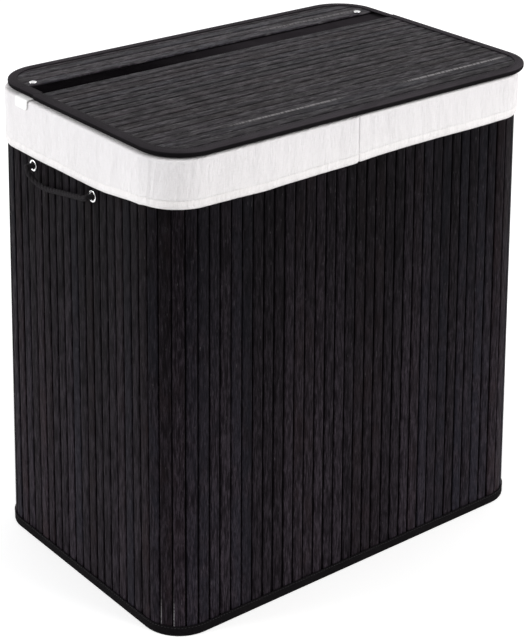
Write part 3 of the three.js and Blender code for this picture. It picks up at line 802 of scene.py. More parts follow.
def dress(names, material):
    """Gives carried-over CAD nodes their finish."""
    for name in names:
        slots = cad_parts[name].data.materials
        slots.clear()
        slots.append(look(material))


def sweep(name, section, outline_at, stations, closed):
    """A closed section of (growth, height) points carried along an outline."""
    rings = []
    for station in stations[:-1] if closed else stations:
        rings.append([outline_at(height, growth).ring([station], height)[0] for growth, height in section])
    return face_outwards(surface(name, rings, around=True, along=closed, caps=not closed))


def turned(name, profile, place, nodes):
    """A profile of (radius, height) points turned round Z, as a plated piece in its place."""
    sides = 40
    ways = [(math.cos(turn), math.sin(turn)) for turn in (2 * math.pi * i / sides for i in range(sides))]
    mesh = bpy.data.meshes.new(name)
    with edited(mesh) as made:
        rings = []
        for radius, height in profile:
            if radius == 0:
                rings.append([made.verts.new((0, 0, height))] * sides)
            else:
                rings.append([made.verts.new((radius * x, radius * y, height)) for x, y in ways])
        for low, high in zip(rings, rings[1:]):
            for i in range(sides):
                j = (i + 1) % sides
                corners = list(dict.fromkeys((low[i], low[j], high[j], high[i])))
                if len(corners) > 2:
                    made.faces.new(corners)
        bmesh.ops.remove_doubles(made, verts=made.verts, dist=SAME_PLACE)
        made.transform(place)
    return piece(mesh, "chrome", nodes=nodes)


def rounded(corners, radius, steps):
    """A closed outline of 2-D corners with each corner rounded by up to radius."""
    found = []
    for i, corner in enumerate(corners):
        here = Vector(corner)
        before, after = Vector(corners[i - 1]) - here, Vector(corners[(i + 1) % len(corners)]) - here
        reach = min(radius, before.length * 0.45, after.length * 0.45)
        start, end = here + before.normalized() * reach, here + after.normalized() * reach
        for share in (k / steps for k in range(steps + 1)):
            found.append(tuple(start * (1 - share) ** 2 + here * 2 * share * (1 - share) + end * share**2))
    return found


def washer(name, inner, outer, low, high, place, node):
    """A flat ring with rounded edges"""
    ring = rounded(((inner, low), (outer, low), (outer, high), (inner, high)), 0.0003, 2)
    turned(name, [*ring, ring[0]], place, (node,))


# Geometry Nodes trees

SLAT_INPUTS = {
    "Count": 100,
    "Cover": 0.9,
    "Thickness": 0.0022,
    "Edge Drop": 0.0007,
    "Wander": 0.00035,
    "Seed": 7,
    "Finish": FINISH,
    "Rubbed Slat": 0.0,
}
# which of a slat's random numbers is which
WIDTH, LIFT, TONE, TINT = 1, 2, 3, 5


def shape_tree(name, inputs):
    return new_group(name, "GeometryNodeTree", {"Geometry": SHAPE, **inputs})


def close_tree(g, shape):
    """Makes the shape real, gives it its finish and puts it out."""
    real = g.node("GeometryNodeRealizeInstances", shape)
    coated = g.set(g.node("GeometryNodeSetMaterial"), Geometry=real, Material=g.given["Finish"])
    close_group(g, SHAPE, {"Geometry": coated})
    return g


def grow(name, source, g, values):
    """Runs a tree on a source object with its named inputs set, and gives back the plain mesh."""
    host = bpy.data.objects.new(name + " host", source)
    bpy.context.scene.collection.objects.link(host)
    modifier = host.modifiers.new("Grow", "NODES")
    modifier.node_group = g.tree
    for item in g.tree.interface.items_tree:
        if item.in_out == "INPUT" and item.name in values:
            modifier[item.identifier] = values[item.name]
    bpy.context.view_layer.update()
    evaluated = host.evaluated_get(bpy.context.evaluated_depsgraph_get())
    mesh = bpy.data.meshes.new_from_object(evaluated)
    mesh.name = name
    host.modifiers.clear()
    bpy.data.objects.remove(host)
    return mesh


def rail_curve(name, rails, closed=True):
    """A curve object's data with one straight-stepped spline for each rail of points."""
    data = bpy.data.curves.new(name, "CURVE")
    data.dimensions = "3D"
    for points in rails:
        spline = data.splines.new("POLY")
        spline.points.add(len(points) - 1)
        spline.points.foreach_set("co", [x for point in points for x in (*point, 1.0)])
        spline.use_cyclic_u = closed
    return data


def store(g, shape, name, value, kind="FLOAT", domain="POINT"):
    made = g.node("GeometryNodeStoreNamedAttribute", data_type=kind, domain=domain)
    return g.set(made, Geometry=shape, Name=name, Value=value)


def slat_bars(g, along, across, deep):
    """Count bars at the origin, each a grid. Gives them, each bar's number, and each point's place on its
    bar, which runs from -0.5 to 0.5 on every axis."""
    bar = g.node("GeometryNodeMeshCube", (1.0, 1.0, 1.0), along, across, deep)
    points = g.set(g.node("GeometryNodeMeshLine"), Count=g.given["Count"], Offset=(0.0, 0.0, 0.0))
    bars = g.set(g.node("GeometryNodeInstanceOnPoints"), Points=points, Instance=bar)
    numbered = store(g, bars, "slat", g.output("GeometryNodeInputIndex"), domain="INSTANCE")
    slat = g.output("GeometryNodeInputNamedAttribute", "slat", data_type="FLOAT")
    place = g.output("GeometryNodeInputPosition")
    return g.node("GeometryNodeRealizeInstances", numbered), slat, g.split(place)


def slat_random(g, slat, low, high, which):
    """A random number for each slat, from low to high"""
    made = g.node("FunctionNodeRandomValue", data_type="FLOAT")
    g.set(made, Min=low, Max=high, ID=slat, Seed=g.given["Seed"] + float(which))
    return Value(g, first_output(made))


def crowned(g, across):
    """Spreads the across share towards a slat's edges, and gives how far its face drops there."""
    wide = 1.0 - (1.0 - abs(across) * 2.0) ** 2.2
    return wide * 0.5 * g.math("SIGN", across), wide**9.0


def slat_width(g, slat, across, lengthwise, pitch, narrowest):
    """How wide a slat is, and how far to its side a point lies on its wandering course."""
    wide = pitch * g.given["Cover"] * slat_random(g, slat, narrowest, 1.05, WIDTH)
    wave = g.noise(g.join(slat * 3.7, across, lengthwise * 3.0), 2.0, 2.0, 0.5)
    return wide, across * wide + (wave - 0.5) * (g.given["Wander"] * 2.0)


def slat_depth(g, slat, through, drop, lowest):
    """1 on a slat's face and 0 on its back, and how far the point lies above the even face. The face drops
    at its edges, and each slat lies a little lower than the even face."""
    face = through + 0.5
    depth = (through - 0.5) * g.given["Thickness"] - drop * g.given["Edge Drop"] * face
    return face, depth + slat_random(g, slat, lowest, 0.0, LIFT) * face


def finish_slats(g, shape, slat, place, grain, rubbed):
    """Stores what the finish reads, moves the bars into place, and closes the tree."""
    shape = store(g, shape, "grain", grain, "FLOAT_VECTOR")
    shape = store(g, shape, "tone", slat_random(g, slat, 0.0, 1.0, TONE))
    shape = store(g, shape, "tint", slat_random(g, slat, 0.0, 1.0, TINT))
    shape = store(g, shape, "rubbed", rubbed)
    return close_tree(g, g.set(g.node("GeometryNodeSetPosition"), Geometry=shape, Position=place))


def wall_slats_tree():
    """Upright flat slats between a low rail and a high rail."""
    g = shape_tree("Slats round a wall", {**SLAT_INPUTS, "Rubbed To": 0.0})
    rails, count, highlight_height = g.given["Geometry"], g.given["Count"], g.given["Rubbed To"]
    bars, slat, (across, outwards, up) = slat_bars(g, 9, 2, 26)
    across, drop = crowned(g, across)
    ends = []
    for rail in (0, 1):
        sample = g.node("GeometryNodeSampleCurve", mode="FACTOR", use_all_curves=False)
        ends.append(g.outputs(g.set(sample, Curves=rails, Factor=(slat + 0.5) / count, Curve_Index=rail)))
    pitch = g.output("GeometryNodeCurveLength", rails) * 0.5 / count
    height = up + 0.5
    wide, sideways = slat_width(g, slat, across, height, pitch, narrowest=0.93)
    ways = (g.vector("SCALE", end["Tangent"], sideways) for end in ends)
    low, high = (g.vector("ADD", end["Position"], way) for end, way in zip(ends, ways))
    on_face = g.output("ShaderNodeMix", height, low, high, data_type="VECTOR")
    outward = g.vector("NORMALIZE", g.vector("CROSS_PRODUCT", ends[0]["Tangent"], (0.0, 0.0, 1.0)))
    face, depth = slat_depth(g, slat, outwards, drop, lowest=-0.00025)
    place = g.vector("ADD", on_face, g.vector("SCALE", outward, depth))
    tall = height * 0.54  # a slat's length in metres
    grain = g.join(across * wide, slat, tall)
    # one edge of the slats next to that number gets a painted highlight on its face, which fades out upwards
    edge = g.math("COMPARE", slat, g.given["Rubbed Slat"], 0.6) * g.math("LESS_THAN", across, -0.45)
    stretch = g.spread(tall, highlight_height, highlight_height - 0.012) * face
    return finish_slats(g, bars, slat, place, grain, edge * stretch)


def lid_slats_tree():
    """Flat slats side by side across the lid, cut to its rounded outline."""
    edges, highlight_inputs = ("Low Y", "High Y", "Left", "Right", "Front", "Rear"), ("Rubbed Left", "Rubbed Right")
    sizes = dict.fromkeys((*edges, "Corner", "Top", *highlight_inputs), 0.0)
    g = shape_tree("Slats across a lid", {**SLAT_INPUTS, **sizes})
    low_y, high_y, left, right, front, rear = (g.given[name] for name in edges)
    corner, highlight_left, highlight_right = (g.given[name] for name in ("Corner", *highlight_inputs))
    bars, slat, (along, across, up) = slat_bars(g, 60, 9, 2)
    across, drop = crowned(g, across)
    pitch = (high_y - low_y) / g.given["Count"]
    wide, sideways = slat_width(g, slat, across, along, pitch, narrowest=0.94)
    y = (slat + 0.5) * pitch + low_y + sideways
    past = g.math("MAXIMUM", g.math("MAXIMUM", y - (rear - corner), front + corner - y), 0.0)
    past = g.math("MINIMUM", past, corner)
    inset = corner - g.math("SQRT", corner**2.0 - past**2.0)
    left, right = left + inset, right - inset
    x = (right - left) * (along + 0.5) + left
    face, depth = slat_depth(g, slat, up, drop, lowest=-0.0003)
    grain = g.join(across * wide, slat + 31.0, x)
    # one slat's front edge gets a painted highlight on its face, in a stretch left and another right of the
    # middle
    edge = g.math("COMPARE", slat, g.given["Rubbed Slat"], 0.5) * g.math("LESS_THAN", across, -0.38)
    first = g.spread(x, -0.165, -0.12) * g.spread(x, 0.02, -0.02)
    second = g.spread(x, 0.08, 0.115) * g.spread(x, 0.26, 0.235)
    stretch = (first * highlight_left + second * highlight_right) * g.math("GREATER_THAN", face, 0.5)
    return finish_slats(g, bars, slat, g.join(x, y, g.given["Top"] + depth), grain, edge * stretch)


def evenly(g, step):
    """The given curves with points a step apart"""
    return g.set(g.node("GeometryNodeResampleCurve", mode="LENGTH"), Curve=g.given["Geometry"], Length=step)


def stitch_tree():
    """Small stitches along curves, each lying along the curve with its back to the cloth."""
    sizes = {"Pitch": 0.004, "Stitch": 0.0028, "Radius": 0.0003}
    g = shape_tree("Stitches along a path", {**sizes, "Finish": FINISH})
    along, out = g.node("GeometryNodeInputTangent"), g.node("GeometryNodeInputNormal")
    way = g.node("FunctionNodeAxesToRotation", along, out, primary_axis="X", secondary_axis="Z")
    size = g.join(g.given["Stitch"] * 0.5, g.given["Radius"], g.given["Radius"])
    bead = g.node("GeometryNodeMeshUVSphere", 6, 4, 1.0)
    beads = g.node("GeometryNodeInstanceOnPoints")
    g.set(beads, Points=evenly(g, g.given["Pitch"]), Instance=bead, Rotation=way, Scale=size)
    return close_tree(g, beads)


def rope_tree():
    """A three-strand rope twisted along a curve, closed at both ends."""
    strands, sides = 3, 27
    g = shape_tree("Rope along a path", {"Radius": 0.00325, "Lay": 0.019, "Finish": FINISH})
    steady = g.node("GeometryNodeSetCurveNormal", evenly(g, 0.0006))
    travelled = g.outputs(g.node("GeometryNodeSplineParameter"))["Length"]
    turn = travelled / g.given["Lay"] * (2 * math.pi)
    twisted = g.set(g.node("GeometryNodeSetCurveTilt"), Curve=steady, Tilt=turn)
    around = g.output("GeometryNodeInputIndex") * (strands / sides)
    lobe = abs(g.math("SINE", around * math.pi))
    reach = (lobe**0.6 * 0.26 + 0.74) * g.given["Radius"]
    place = g.vector("SCALE", g.output("GeometryNodeInputPosition"), reach)
    ring = g.node("GeometryNodeCurvePrimitiveCircle", sides, 1.0)
    shaped = g.set(g.node("GeometryNodeSetPosition"), Geometry=ring, Position=place)
    tube = g.node("GeometryNodeCurveToMesh")
    return close_tree(g, g.set(tube, Curve=twisted, Profile_Curve=shaped, Fill_Caps=True))


# Paths


def end_wall(side, height, growth):
    """How far out the end wall's face is at a height"""
    b = bpy.context.scene.hamper_body
    return side * (b.base_length / 2 - b.lean * height / b.hem + growth)


def eyelet_matrix(side, end):
    """Places a turned piece on an end wall, with its Z pointing outwards along the eyelet."""
    b, h = bpy.context.scene.hamper_body, bpy.context.scene.hamper_handles
    out = Vector((side, 0, b.lean / b.hem)).normalized()
    place = Vector((end_wall(side, h.height, 0), h.middle + end * h.span / 2, h.height))
    return Matrix.Translation(place) @ out.to_track_quat("Z", "Y").to_matrix().to_4x4()


def smooth_path(points, step):
    """A smooth curve through the points, as points about step apart."""
    points = [2 * points[0] - points[1], *points, 2 * points[-1] - points[-2]]
    found = []
    for a, b, c, d in zip(points, points[1:], points[2:], points[3:]):
        steps = max(2, math.ceil((c - b).length / step))
        for t in (k / steps for k in range(steps)):
            bend = (2 * a - 5 * b + 4 * c - d) * t**2 + (3 * b - a - 3 * c + d) * t**3
            found.append(0.5 * (2 * b + (c - a) * t + bend))
    return [*found, points[-2]]


def loop_route(side):
    """The handle's rope: from the front eyelet's mouth down and back up to the rear one."""
    b, h = bpy.context.scene.hamper_body, bpy.context.scene.hamper_handles
    lean = b.lean / b.hem
    out = h.reach + h.end_gap + h.radius
    turn = math.atan(lean)
    axis_x = abs(end_wall(side, h.height, 0)) + out * math.cos(turn)
    axis_z = h.height + out * math.sin(turn)
    drift = out - h.radius - h.wall_gap - lean * h.sag
    # along the wall, up and inwards, as shares of half the span, the sag and the drift
    shares = (
        (-1, 0, 0), (-0.93, -0.1, 0), (-0.75, -0.22, 0.1), (-0.45, -0.42, 0.4), (-0.1, -0.66, 0.75),
        (0.2, -0.86, 0.95), (0.45, -1, 1), (0.66, -0.97, 0.95), (0.84, -0.78, 0.6), (0.95, -0.42, 0.15),
        (1, 0, 0),
    )  # fmt: skip
    return [
        Vector((side * (axis_x - inwards * drift), h.middle + along * h.span / 2, axis_z + up * h.sag))
        for along, up, inwards in shares
    ]


def stitches(name, paths, material, body=HAMPER, radius=0.00028, closed=False):
    """Stitches along the paths, made by the stitch tree."""
    s = bpy.context.scene.hamper_cloth
    values = {"Pitch": s.stitch_pitch, "Stitch": s.stitch, "Radius": radius, "Finish": look(material)}
    mesh = grow(name, rail_curve(name + " path", paths, closed), stitch_tree(), values)
    return piece(mesh, None, body)


def rope_mesh(name, route):
    h = bpy.context.scene.hamper_handles
    values = {"Radius": h.radius, "Lay": h.lay, "Finish": look("rope")}
    mesh = grow(name, rail_curve(name + " path", [route], False), rope_tree(), values)
    give_tube_map(mesh, route, h.radius)
    return mesh


def give_tube_map(mesh, route, radius):
    """A UV map in metres for a rope: round it, and along its route."""
    line = np.array([tuple(point) for point in route])
    travelled = np.concatenate([[0], np.cumsum(np.linalg.norm(np.diff(line, axis=0), axis=1))])
    ways = np.gradient(line, axis=0)
    maps = mesh.uv_layers.get("UVMap") or mesh.uv_layers.new(name="UVMap")
    values = np.zeros((len(mesh.vertices), 2))
    for i, vertex in enumerate(mesh.vertices):
        away = np.array(vertex.co) - line
        near = int(np.argmin((away**2).sum(1)))
        way = Vector(ways[near]).normalized()
        first = way.orthogonal().normalized()
        around = Vector(away[near])
        angle = math.atan2(around.dot(way.cross(first)), around.dot(first))
        values[i] = (angle * radius, travelled[near])
    loops = np.zeros(len(mesh.loops), int)
    mesh.loops.foreach_get("vertex_index", loops)
    maps.data.foreach_set("uv", values[loops].ravel())


# Pieces, one operator each


def slat_values(sizes, material, count, seed):
    """What both slat trees are told"""
    return {
        "Count": count,
        "Cover": sizes.cover,
        "Thickness": bpy.context.scene.hamper_body.thickness,
        "Edge Drop": sizes.edge_drop,
        "Wander": sizes.wander,
        "Seed": seed,
        "Finish": look(material),
    }


class HAMPER_OT_body_slats(bpy.types.Operator):
    """Make the wall of upright slats and the cloth that they are glued to"""

    bl_idname = "hamper.body_slats"
    bl_label = "Body slats"

    # the corner slats below get a painted highlight along one edge, up to the height below
    rubbed_slats = 39.5  # slats 39 and 40, at the near corner
    rubbed_to = 0.046  # height up to which they are rubbed

    def execute(self, context):
        b = context.scene.hamper_body
        rails = [body_outline(height, 0).closed_ring(0.006, height) for height in (b.low, b.top)]
        count = round(body_outline(b.top / 2, 0).round_it() / b.pitch)
        values = slat_values(b, "body slats", count, 11)
        values |= {"Rubbed Slat": self.rubbed_slats, "Rubbed To": self.rubbed_to}
        mesh = grow("body_slats", rail_curve("Wall rails", rails), wall_slats_tree(), values)
        piece(mesh, None, nodes=("slat_wrap",), smooth=False)
        face, back = -b.thickness, -b.thickness - b.backing
        section = [(face, b.low), (face, b.top), (back, b.top), (back, b.low)]
        stations = body_outline(0, 0).stations(0.008)
        mesh = sweep("slat_backing", section, body_outline, stations, True)
        piece(mesh, "lining", smooth=False)
        self.wrap_seam(b, back)
        return {"FINISHED"}

    def wrap_seam(self, b, back):
        """The strip that joins the wrap's ends, and its two rows of stitches."""
        low, high, half, thickness = 0.0126, 0.5290, 0.018, 0.0008
        gap, stitch_lift = 0.0007, 0.0005  # from the backing to the strip, and from the strip to its stitches
        rows, paths = [], ([], [])
        for i in range(41):
            height = low + (high - low) * i / 40
            wall = b.base_depth / 2 - b.lean * height / b.hem + back - gap
            row = []
            for x in (b.seam_x + half * (k / 4 - 1) for k in range(9)):
                row.append((x, wall + 0.00012 * noise.noise((x * 90, height * 60, 4)), height))
            rows.append(row)
            for path, way in zip(paths, (-1, 1)):
                path.append((b.seam_x + way * half * 0.72, wall - stitch_lift, height))
        mesh = surface("wrap_seam", rows)
        piece(mesh, "lining", nodes=("wrap_seam_strip",), thickness=thickness)
        stitches("wrap_seam_stitches", paths, "black thread")


class HAMPER_OT_base(bpy.types.Operator):
    """Make the cover over the base board, and finish the board and the rim's hoop"""

    bl_idname = "hamper.base"
    bl_label = "Base and hoop"

    def execute(self, context):
        outer, top = -0.0045, 0.0037
        # up the cover's edge and inwards over the board
        edge = [(0, 0.0004), (0, 0.0022), (-0.0002, 0.0032), (-0.0008, top), (-0.002, top)]
        edge += [(-0.012 * k, top) for k in (1, 2, 3)]
        stations = body_outline(0, 0).stations(0.008)[:-1]
        rows = [body_outline(0, outer + growth).ring(stations, height) for growth, height in edge]
        last = np.array(rows[-1])
        centre = last.mean(axis=0)
        for share in (0.75, 0.5, 0.25, 0.02):
            ring = centre + (last - centre) * share
            ring[:, 2] += [0.0001 * noise.noise((x * 40, y * 40, 1)) for x, y, _ in ring]
            rows.append(ring.tolist())
        mesh = surface("base_cloth", rows, around=True)
        with edited(mesh) as made:
            made.faces.new(made.verts[-len(stations) :])
        piece(mesh, "lining", nodes=("base_cover",), thickness=0.0007)
        dress(("base_board", "lid_rear_board", "lid_flap_board"), "board")
        dress(("rim_hoop",), "wire")
        return {"FINISHED"}


class HAMPER_OT_tapes(bpy.types.Operator):
    """Sew the tapes round the foot and the rim of the wrap"""

    bl_idname = "hamper.tapes"
    bl_label = "Wrap tapes"

    def execute(self, context):
        b = context.scene.hamper_body
        out, inner = 0.0013, -0.0042
        stations = body_outline(0, 0).stations(0.007)
        # both tapes' sections, as (growth, height) round the cloth that clasps the wall's edge
        foot = [
            (out, 0.0), (out, b.tape_height), (0.0001, b.tape_height), (0.0001, 0.0009),
            (-0.0032, 0.0009), (-0.0032, b.tape_height), (inner, b.tape_height), (inner, 0.0),
        ]  # fmt: skip
        mesh = sweep("foot_tape", rounded(foot, 0.0011, 4), body_outline, stations, True)
        piece(mesh, "tape", nodes=("bottom_binding",))
        top = b.top + 0.0012
        low, fold = top - 0.016, b.top + 0.0003
        rim = [
            (0.0012, low), (0.0012, top), (inner, top), (inner, low),
            (-0.0033, low), (-0.0033, fold), (0.0003, fold), (0.0003, low),
        ]  # fmt: skip
        mesh = sweep("rim_tape", rounded(rim, 0.0006, 2), body_outline, stations, True)
        piece(mesh, "tape", nodes=("top_binding",))
        height = b.tape_height - 0.0018
        path = body_outline(height, out + 0.00005).closed_ring(0.004, height)
        stitches("foot_tape_stitches", [path], "black thread", closed=True)
        return {"FINISHED"}


class HAMPER_OT_bags(bpy.types.Operator):
    """Hang the two cotton bags, each with its half of the folded cuff"""

    bl_idname = "hamper.bags"
    bl_label = "Bags and cuff"

    column = 0.0045  # distance from one column of the cloth's points to the next
    seam_column = 0.0011  # the same beside the cuff's seam
    # how much lower or higher than its even height the hem hangs, at stations round each bag
    hem_course = {
        -1: (
            (8, 10, 10.5, 11, 11.62, 11.75, 11.85,
             11.93, 12.1, 13.2, 13.38, 13.52, 13.75, 14),
            (0, -0.006, -0.009, -0.0103, -0.0096, -0.008, -0.005,
             -0.0025, 0, -0.0008, -0.0022, -0.0014, -0.0004, 0),
        ),
        1: (
            (4, 4.12, 4.3, 5, 6, 7, 8, 10),
            (0.0006, 0.0020, 0.0027, 0.0032, 0.003, 0.0025, 0.0015, 0),
        ),
    }  # fmt: skip

    def execute(self, context):
        for name, side in SIDES:
            self.bag(context, name, side)
        return {"FINISHED"}

    def bag(self, context, name, side):
        s, b = context.scene.hamper_cloth, context.scene.hamper_body
        divider = (side, s.divider_x + side * s.divider_gap / 2 + side * s.cloth / 2, 0.005)
        first, cuff_end = (4.0, 10.0) if side > 0 else (8.0, 14.0)
        rim = body_outline(b.top, -s.neck, divider)
        columns = rim.stations(self.column, first, first + 9)[:-1]
        for share in (k * self.seam_column / rim.size(4) for k in (1, 2, 3)):
            columns += [first + share, cuff_end - share]
        columns.sort()
        outer = [station for station in columns if station <= cuff_end + 1e-6]
        sack = [self.sack_ring(divider, columns, side, *row) for row in self.sack_rows(s, b)]
        floor = np.array(sack[0])
        centre = floor.mean(axis=0)
        bottom = [(centre + (floor - centre) * share).tolist() for share in (0.02, 0.25, 0.5, 0.75, 0.9)]
        cuff = self.cuff_rows(s, b)
        folds, row_whiteness = [], [0.0]
        for row in cuff:
            hung = min(1.0, max(0.0, (s.cuff_top - row[1]) / (s.cuff_top - b.hem - s.hem_band)))
            folds.append(self.cuff_row(s, outer, side, hung, *row))
            # the hem band is sewn double; above it the cuff is painted greyer towards the top, as painted
            # shade under the lid; and the fold lies on the rim's tape
            row_whiteness.append(1.0 if hung == 1.0 else 0.45 * hung if hung > 0.02 else 0.5)
        mesh = self.cloth(name, [*bottom, *sack], folds, row_whiteness)
        made = piece(mesh, "cotton", nodes=("bag_" + name,), thickness=s.cloth)
        around, half_floor = rim.round_it(), 0.14
        tall = b.top - s.floor + half_floor + b.top - b.hem
        area = sum(polygon.area for polygon in mesh.polygons)
        min(area, around * tall)
        # the stitches lie in the groove above the hem band
        off_groove = [abs(height - b.hem - s.hem_band) for _, height, _, _ in cuff[:-4]]
        groove = folds[off_groove.index(min(off_groove))]
        path = [outwards(Vector(point), 0.00062, body_outline(point[2], 0)) for point in groove]
        stitches("hem_stitches_" + name, [path], "white thread", radius=0.00024)

    def sack_rows(self, s, b):
        """(growth, height, how much it may fold) from the floor's edge up to the rim."""
        rows = [(-s.inset - 0.006, s.floor, 0), (-s.inset - 0.003, s.floor + 0.0004, 0)]
        rows += [(-s.inset - 0.001, s.floor + 0.0025, 0.1), (-s.inset, s.floor + 0.006, 0.3)]
        low, high = s.floor + 0.014, b.top - 0.045
        for share in (i / 43 for i in range(44)):
            fold = 0.35 + 0.65 * math.sin(math.pi * min(1.0, 0.15 + share)) ** 2
            rows.append((-s.inset, low + (high - low) * share, fold))
        rows += [(-0.0143, b.top - 0.036, 0.35), (-0.0125, b.top - 0.027, 0.22)]
        rows += [(-0.0108, b.top - 0.019, 0.1), (-s.neck, b.top - 0.012, 0.05)]
        return [*rows, (-s.neck, b.top - 0.006, 0), (-s.neck, b.top, 0)]

    def sack_ring(self, divider, columns, side, growth, height, fold):
        """One row of a bag's points, folded inwards as the cloth hangs."""
        outline = body_outline(height, growth, divider)
        ring = []
        for i, station in enumerate(columns):
            point, way = outline.at(station)
            point -= way * fold * self.hang(i * self.column, height, side)
            ring.append((point.x, point.y, height))
        return ring

    def hang(self, distance, height, side):
        """How far the cloth folds inwards at a place on the wall."""
        broad = noise.noise((distance * 13, height * 2.2, 20 + side))
        narrow = noise.noise((distance * 34, height * 4.5, 40 + side))
        crossing = noise.noise((distance * 6, height * 13, 60 + side))
        return bpy.context.scene.hamper_cloth.fold * (0.5 + 0.55 * broad + 0.3 * narrow + 0.18 * crossing)

    def cuff_rows(self, s, b):
        """(growth, height, ripple, stray height) from the rim's inside over it and down to the hem."""
        top, out, hem_top = s.cuff_top, s.cuff_out, b.hem + s.hem_band
        rows = [(-s.neck + 0.0004, top - 0.0007, 0, 0), (-s.neck + 0.0014, top, 0, 0)]
        rows += [(-0.0055, top, 0, 0), (-0.002, top, 0, 0), (out - 0.0016, top, 0.1, 0)]
        rows += [(out - 0.0005, top - 0.0005, 0.2, 0), (out - 0.0001, top - 0.0016, 0.3, 0)]
        for share in (i / 18 for i in range(1, 19)):
            height = top - 0.0016 + (hem_top + 0.0008 - top + 0.0016) * share
            rows.append((out, height, 0.3 + 0.7 * math.sin(math.pi * share), 0.0003 * share))
        hem = ((-0.00045, 0.0), (-0.0002, -0.0009), (0.00005, -0.0024), (0, -0.0048), (-0.0004, -0.0074))
        rows += [(out + growth, hem_top + height, 0.55, 0.0005) for growth, height in hem]
        rows += [(out - 0.0009, b.hem + 0.0002, 0.4, 0.0005), (out - 0.0014, b.hem + 0.0004, 0.3, 0.0005)]
        return [*rows, (out - 0.00165, b.hem + 0.003, 0.1, 0.0003), (out - 0.0017, hem_top - 0.001, 0, 0)]

    def cuff_row(self, s, outer, side, hung, growth, height, ripple, stray):
        """One row of the cuff's points, with its ripples and its hem's course. hung is 0 at the fold and 1
        from the hem band down."""
        outline = body_outline(height, growth, (side, s.divider_x + side * 0.00006, 0.0001))
        row = []
        for station in outer:
            point, way = outline.at(station)
            wave = noise.noise((point.x * 22, point.y * 22, height * 6))
            wave += 0.5 * noise.noise((point.x * 70, point.y * 70, height * 14))
            lift = stray * noise.noise((point.x * 14, point.y * 14, 9))
            lift += hung * np.interp(station, *self.hem_course[side])
            from_seam = abs(point.x - s.divider_x)
            tuck = 0.0007 * math.exp(-((from_seam / 0.0014) ** 2)) if height < s.cuff_top - 0.001 else 0
            lift += 0.0009 * hung**4 * math.exp(-((from_seam / 0.0018) ** 2))
            point += way * (ripple * s.ripple * wave - tuck)
            row.append((point.x, point.y, height + lift))
        return row

    def cloth(self, name, rings, folds, row_whiteness):
        """Rings closed all round below the rim, with the cuff's rows joined on along the outer wall. The last
        argument gives each of the cuff's rows its whiteness: how much of a second layer lies behind it, and
        how little painted shade from the lid it gets."""
        below = surface("bag_" + name, rings, around=True)
        above = surface("cuff_" + name, [rings[-1][: len(folds[0])], *folds])
        for mesh, rows in ((below, [0.0] * len(rings)), (above, row_whiteness)):
            # each row's whiteness: a second layer behind it, and less painted shade lower down the cuff
            behind = mesh.attributes.new("doubled", "FLOAT", "POINT")
            behind.data.foreach_set("value", np.repeat(rows, len(mesh.vertices) // len(rows)))
        data = above.uv_layers["UVMap"].data
        coordinates = np.zeros(len(data) * 2)
        data.foreach_get("uv", coordinates)
        coordinates[1::2] += sum(math.dist(a[0], b[0]) for a, b in zip(rings, rings[1:]))
        data.foreach_set("uv", coordinates)
        whole = joined("bag_" + name + "_cotton", [below, above])
        with edited(whole) as made:
            made.faces.new(made.verts[: len(rings[0])][::-1])
            bmesh.ops.remove_doubles(made, verts=made.verts, dist=SAME_PLACE)
        return whole


def outwards(point, distance, outline):
    """The point moved away from the middle of the body's walls."""
    half_x, half_y = (half - bpy.context.scene.hamper_body.corner for half in outline.high)
    core = Vector((max(-half_x, min(half_x, point.x)), max(-half_y, min(half_y, point.y)), point.z))
    way = point - core
    return point + way.normalized() * distance if way.length > 1e-6 else point


class HAMPER_OT_lid(bpy.types.Operator):
    """Lay the lid's slats on their boards and bind their edges with tape"""

    bl_idname = "hamper.lid"
    bl_label = "Lid"

    # the number of the slat with a painted edge highlight, and how strong the highlight is in its left and in
    # its right stretch
    rubbed = {"rear": (1.0, 0.0, 0.5), "flap": (3.0, 0.8, 0.95)}

    def execute(self, context):
        lid = context.scene.hamper_lid
        self.slats(lid, "rear", HAMPER, lid.step, lid.strip_front, 1.0, "strip slats", 41)
        self.tape(lid, "rear", HAMPER, lid.step, lid.strip_front, True)
        self.slats(lid, "flap", FLAP, 0.0, -1.0, lid.flap_rear, "lid slats", 23)
        self.tape(lid, "flap", FLAP, 0.0, lid.flap_rear, False)
        return {"FINISHED"}

    def slats(self, lid, name, body, step, low, high, material, seed):
        outline = lid_outline(-lid.slat_inset, step)
        (left, front), (right, rear) = outline.low, outline.high
        low, high = max(low, front), min(high, rear)
        paler_part, highlight_left, highlight_right = self.rubbed[name]
        values = slat_values(lid, material, round((high - low) / lid.pitch), seed)
        values |= {"Low Y": low, "High Y": high, "Left": left, "Right": right, "Front": front, "Rear": rear}
        values |= {"Corner": lid.corner - lid.slat_inset, "Top": lid.top}
        values |= {"Rubbed Slat": paler_part, "Rubbed Left": highlight_left, "Rubbed Right": highlight_right}
        mesh = grow("lid_slats_" + name, bpy.data.meshes.new("Slat host"), lid_slats_tree(), values)
        piece(mesh, None, body, ("lid_" + name + "_slats",), smooth=False)
        shape = clipped([Vector(point).xy for point in outline.closed_ring(0.006, 0)], low, high)
        mesh = plate("lid_backing_" + name, shape, lid.board_high + 0.0002, lid.top - 0.0021)
        piece(mesh, "lining", body, smooth=False)

    def tape(self, lid, name, body, step, edge, at_rear):
        outline = lid_outline(0, step)
        left, right = outline.station_at_y(-1, edge), outline.station_at_y(1, edge)
        first, last = (right, left + 9) if at_rear else (left, right)
        stations = outline.stations(0.006, first, last)
        mesh = tape_along("lid_tape_" + name, lid, step, stations)
        piece(mesh, "lid tape", body, ("lid_" + name + "_binding",))
        path = lid_outline(-lid.tape_width + 0.0019, step).ring(stations, lid.tape_top + 0.00003)
        stitches("lid_stitches_" + name, [path], "black thread", body)


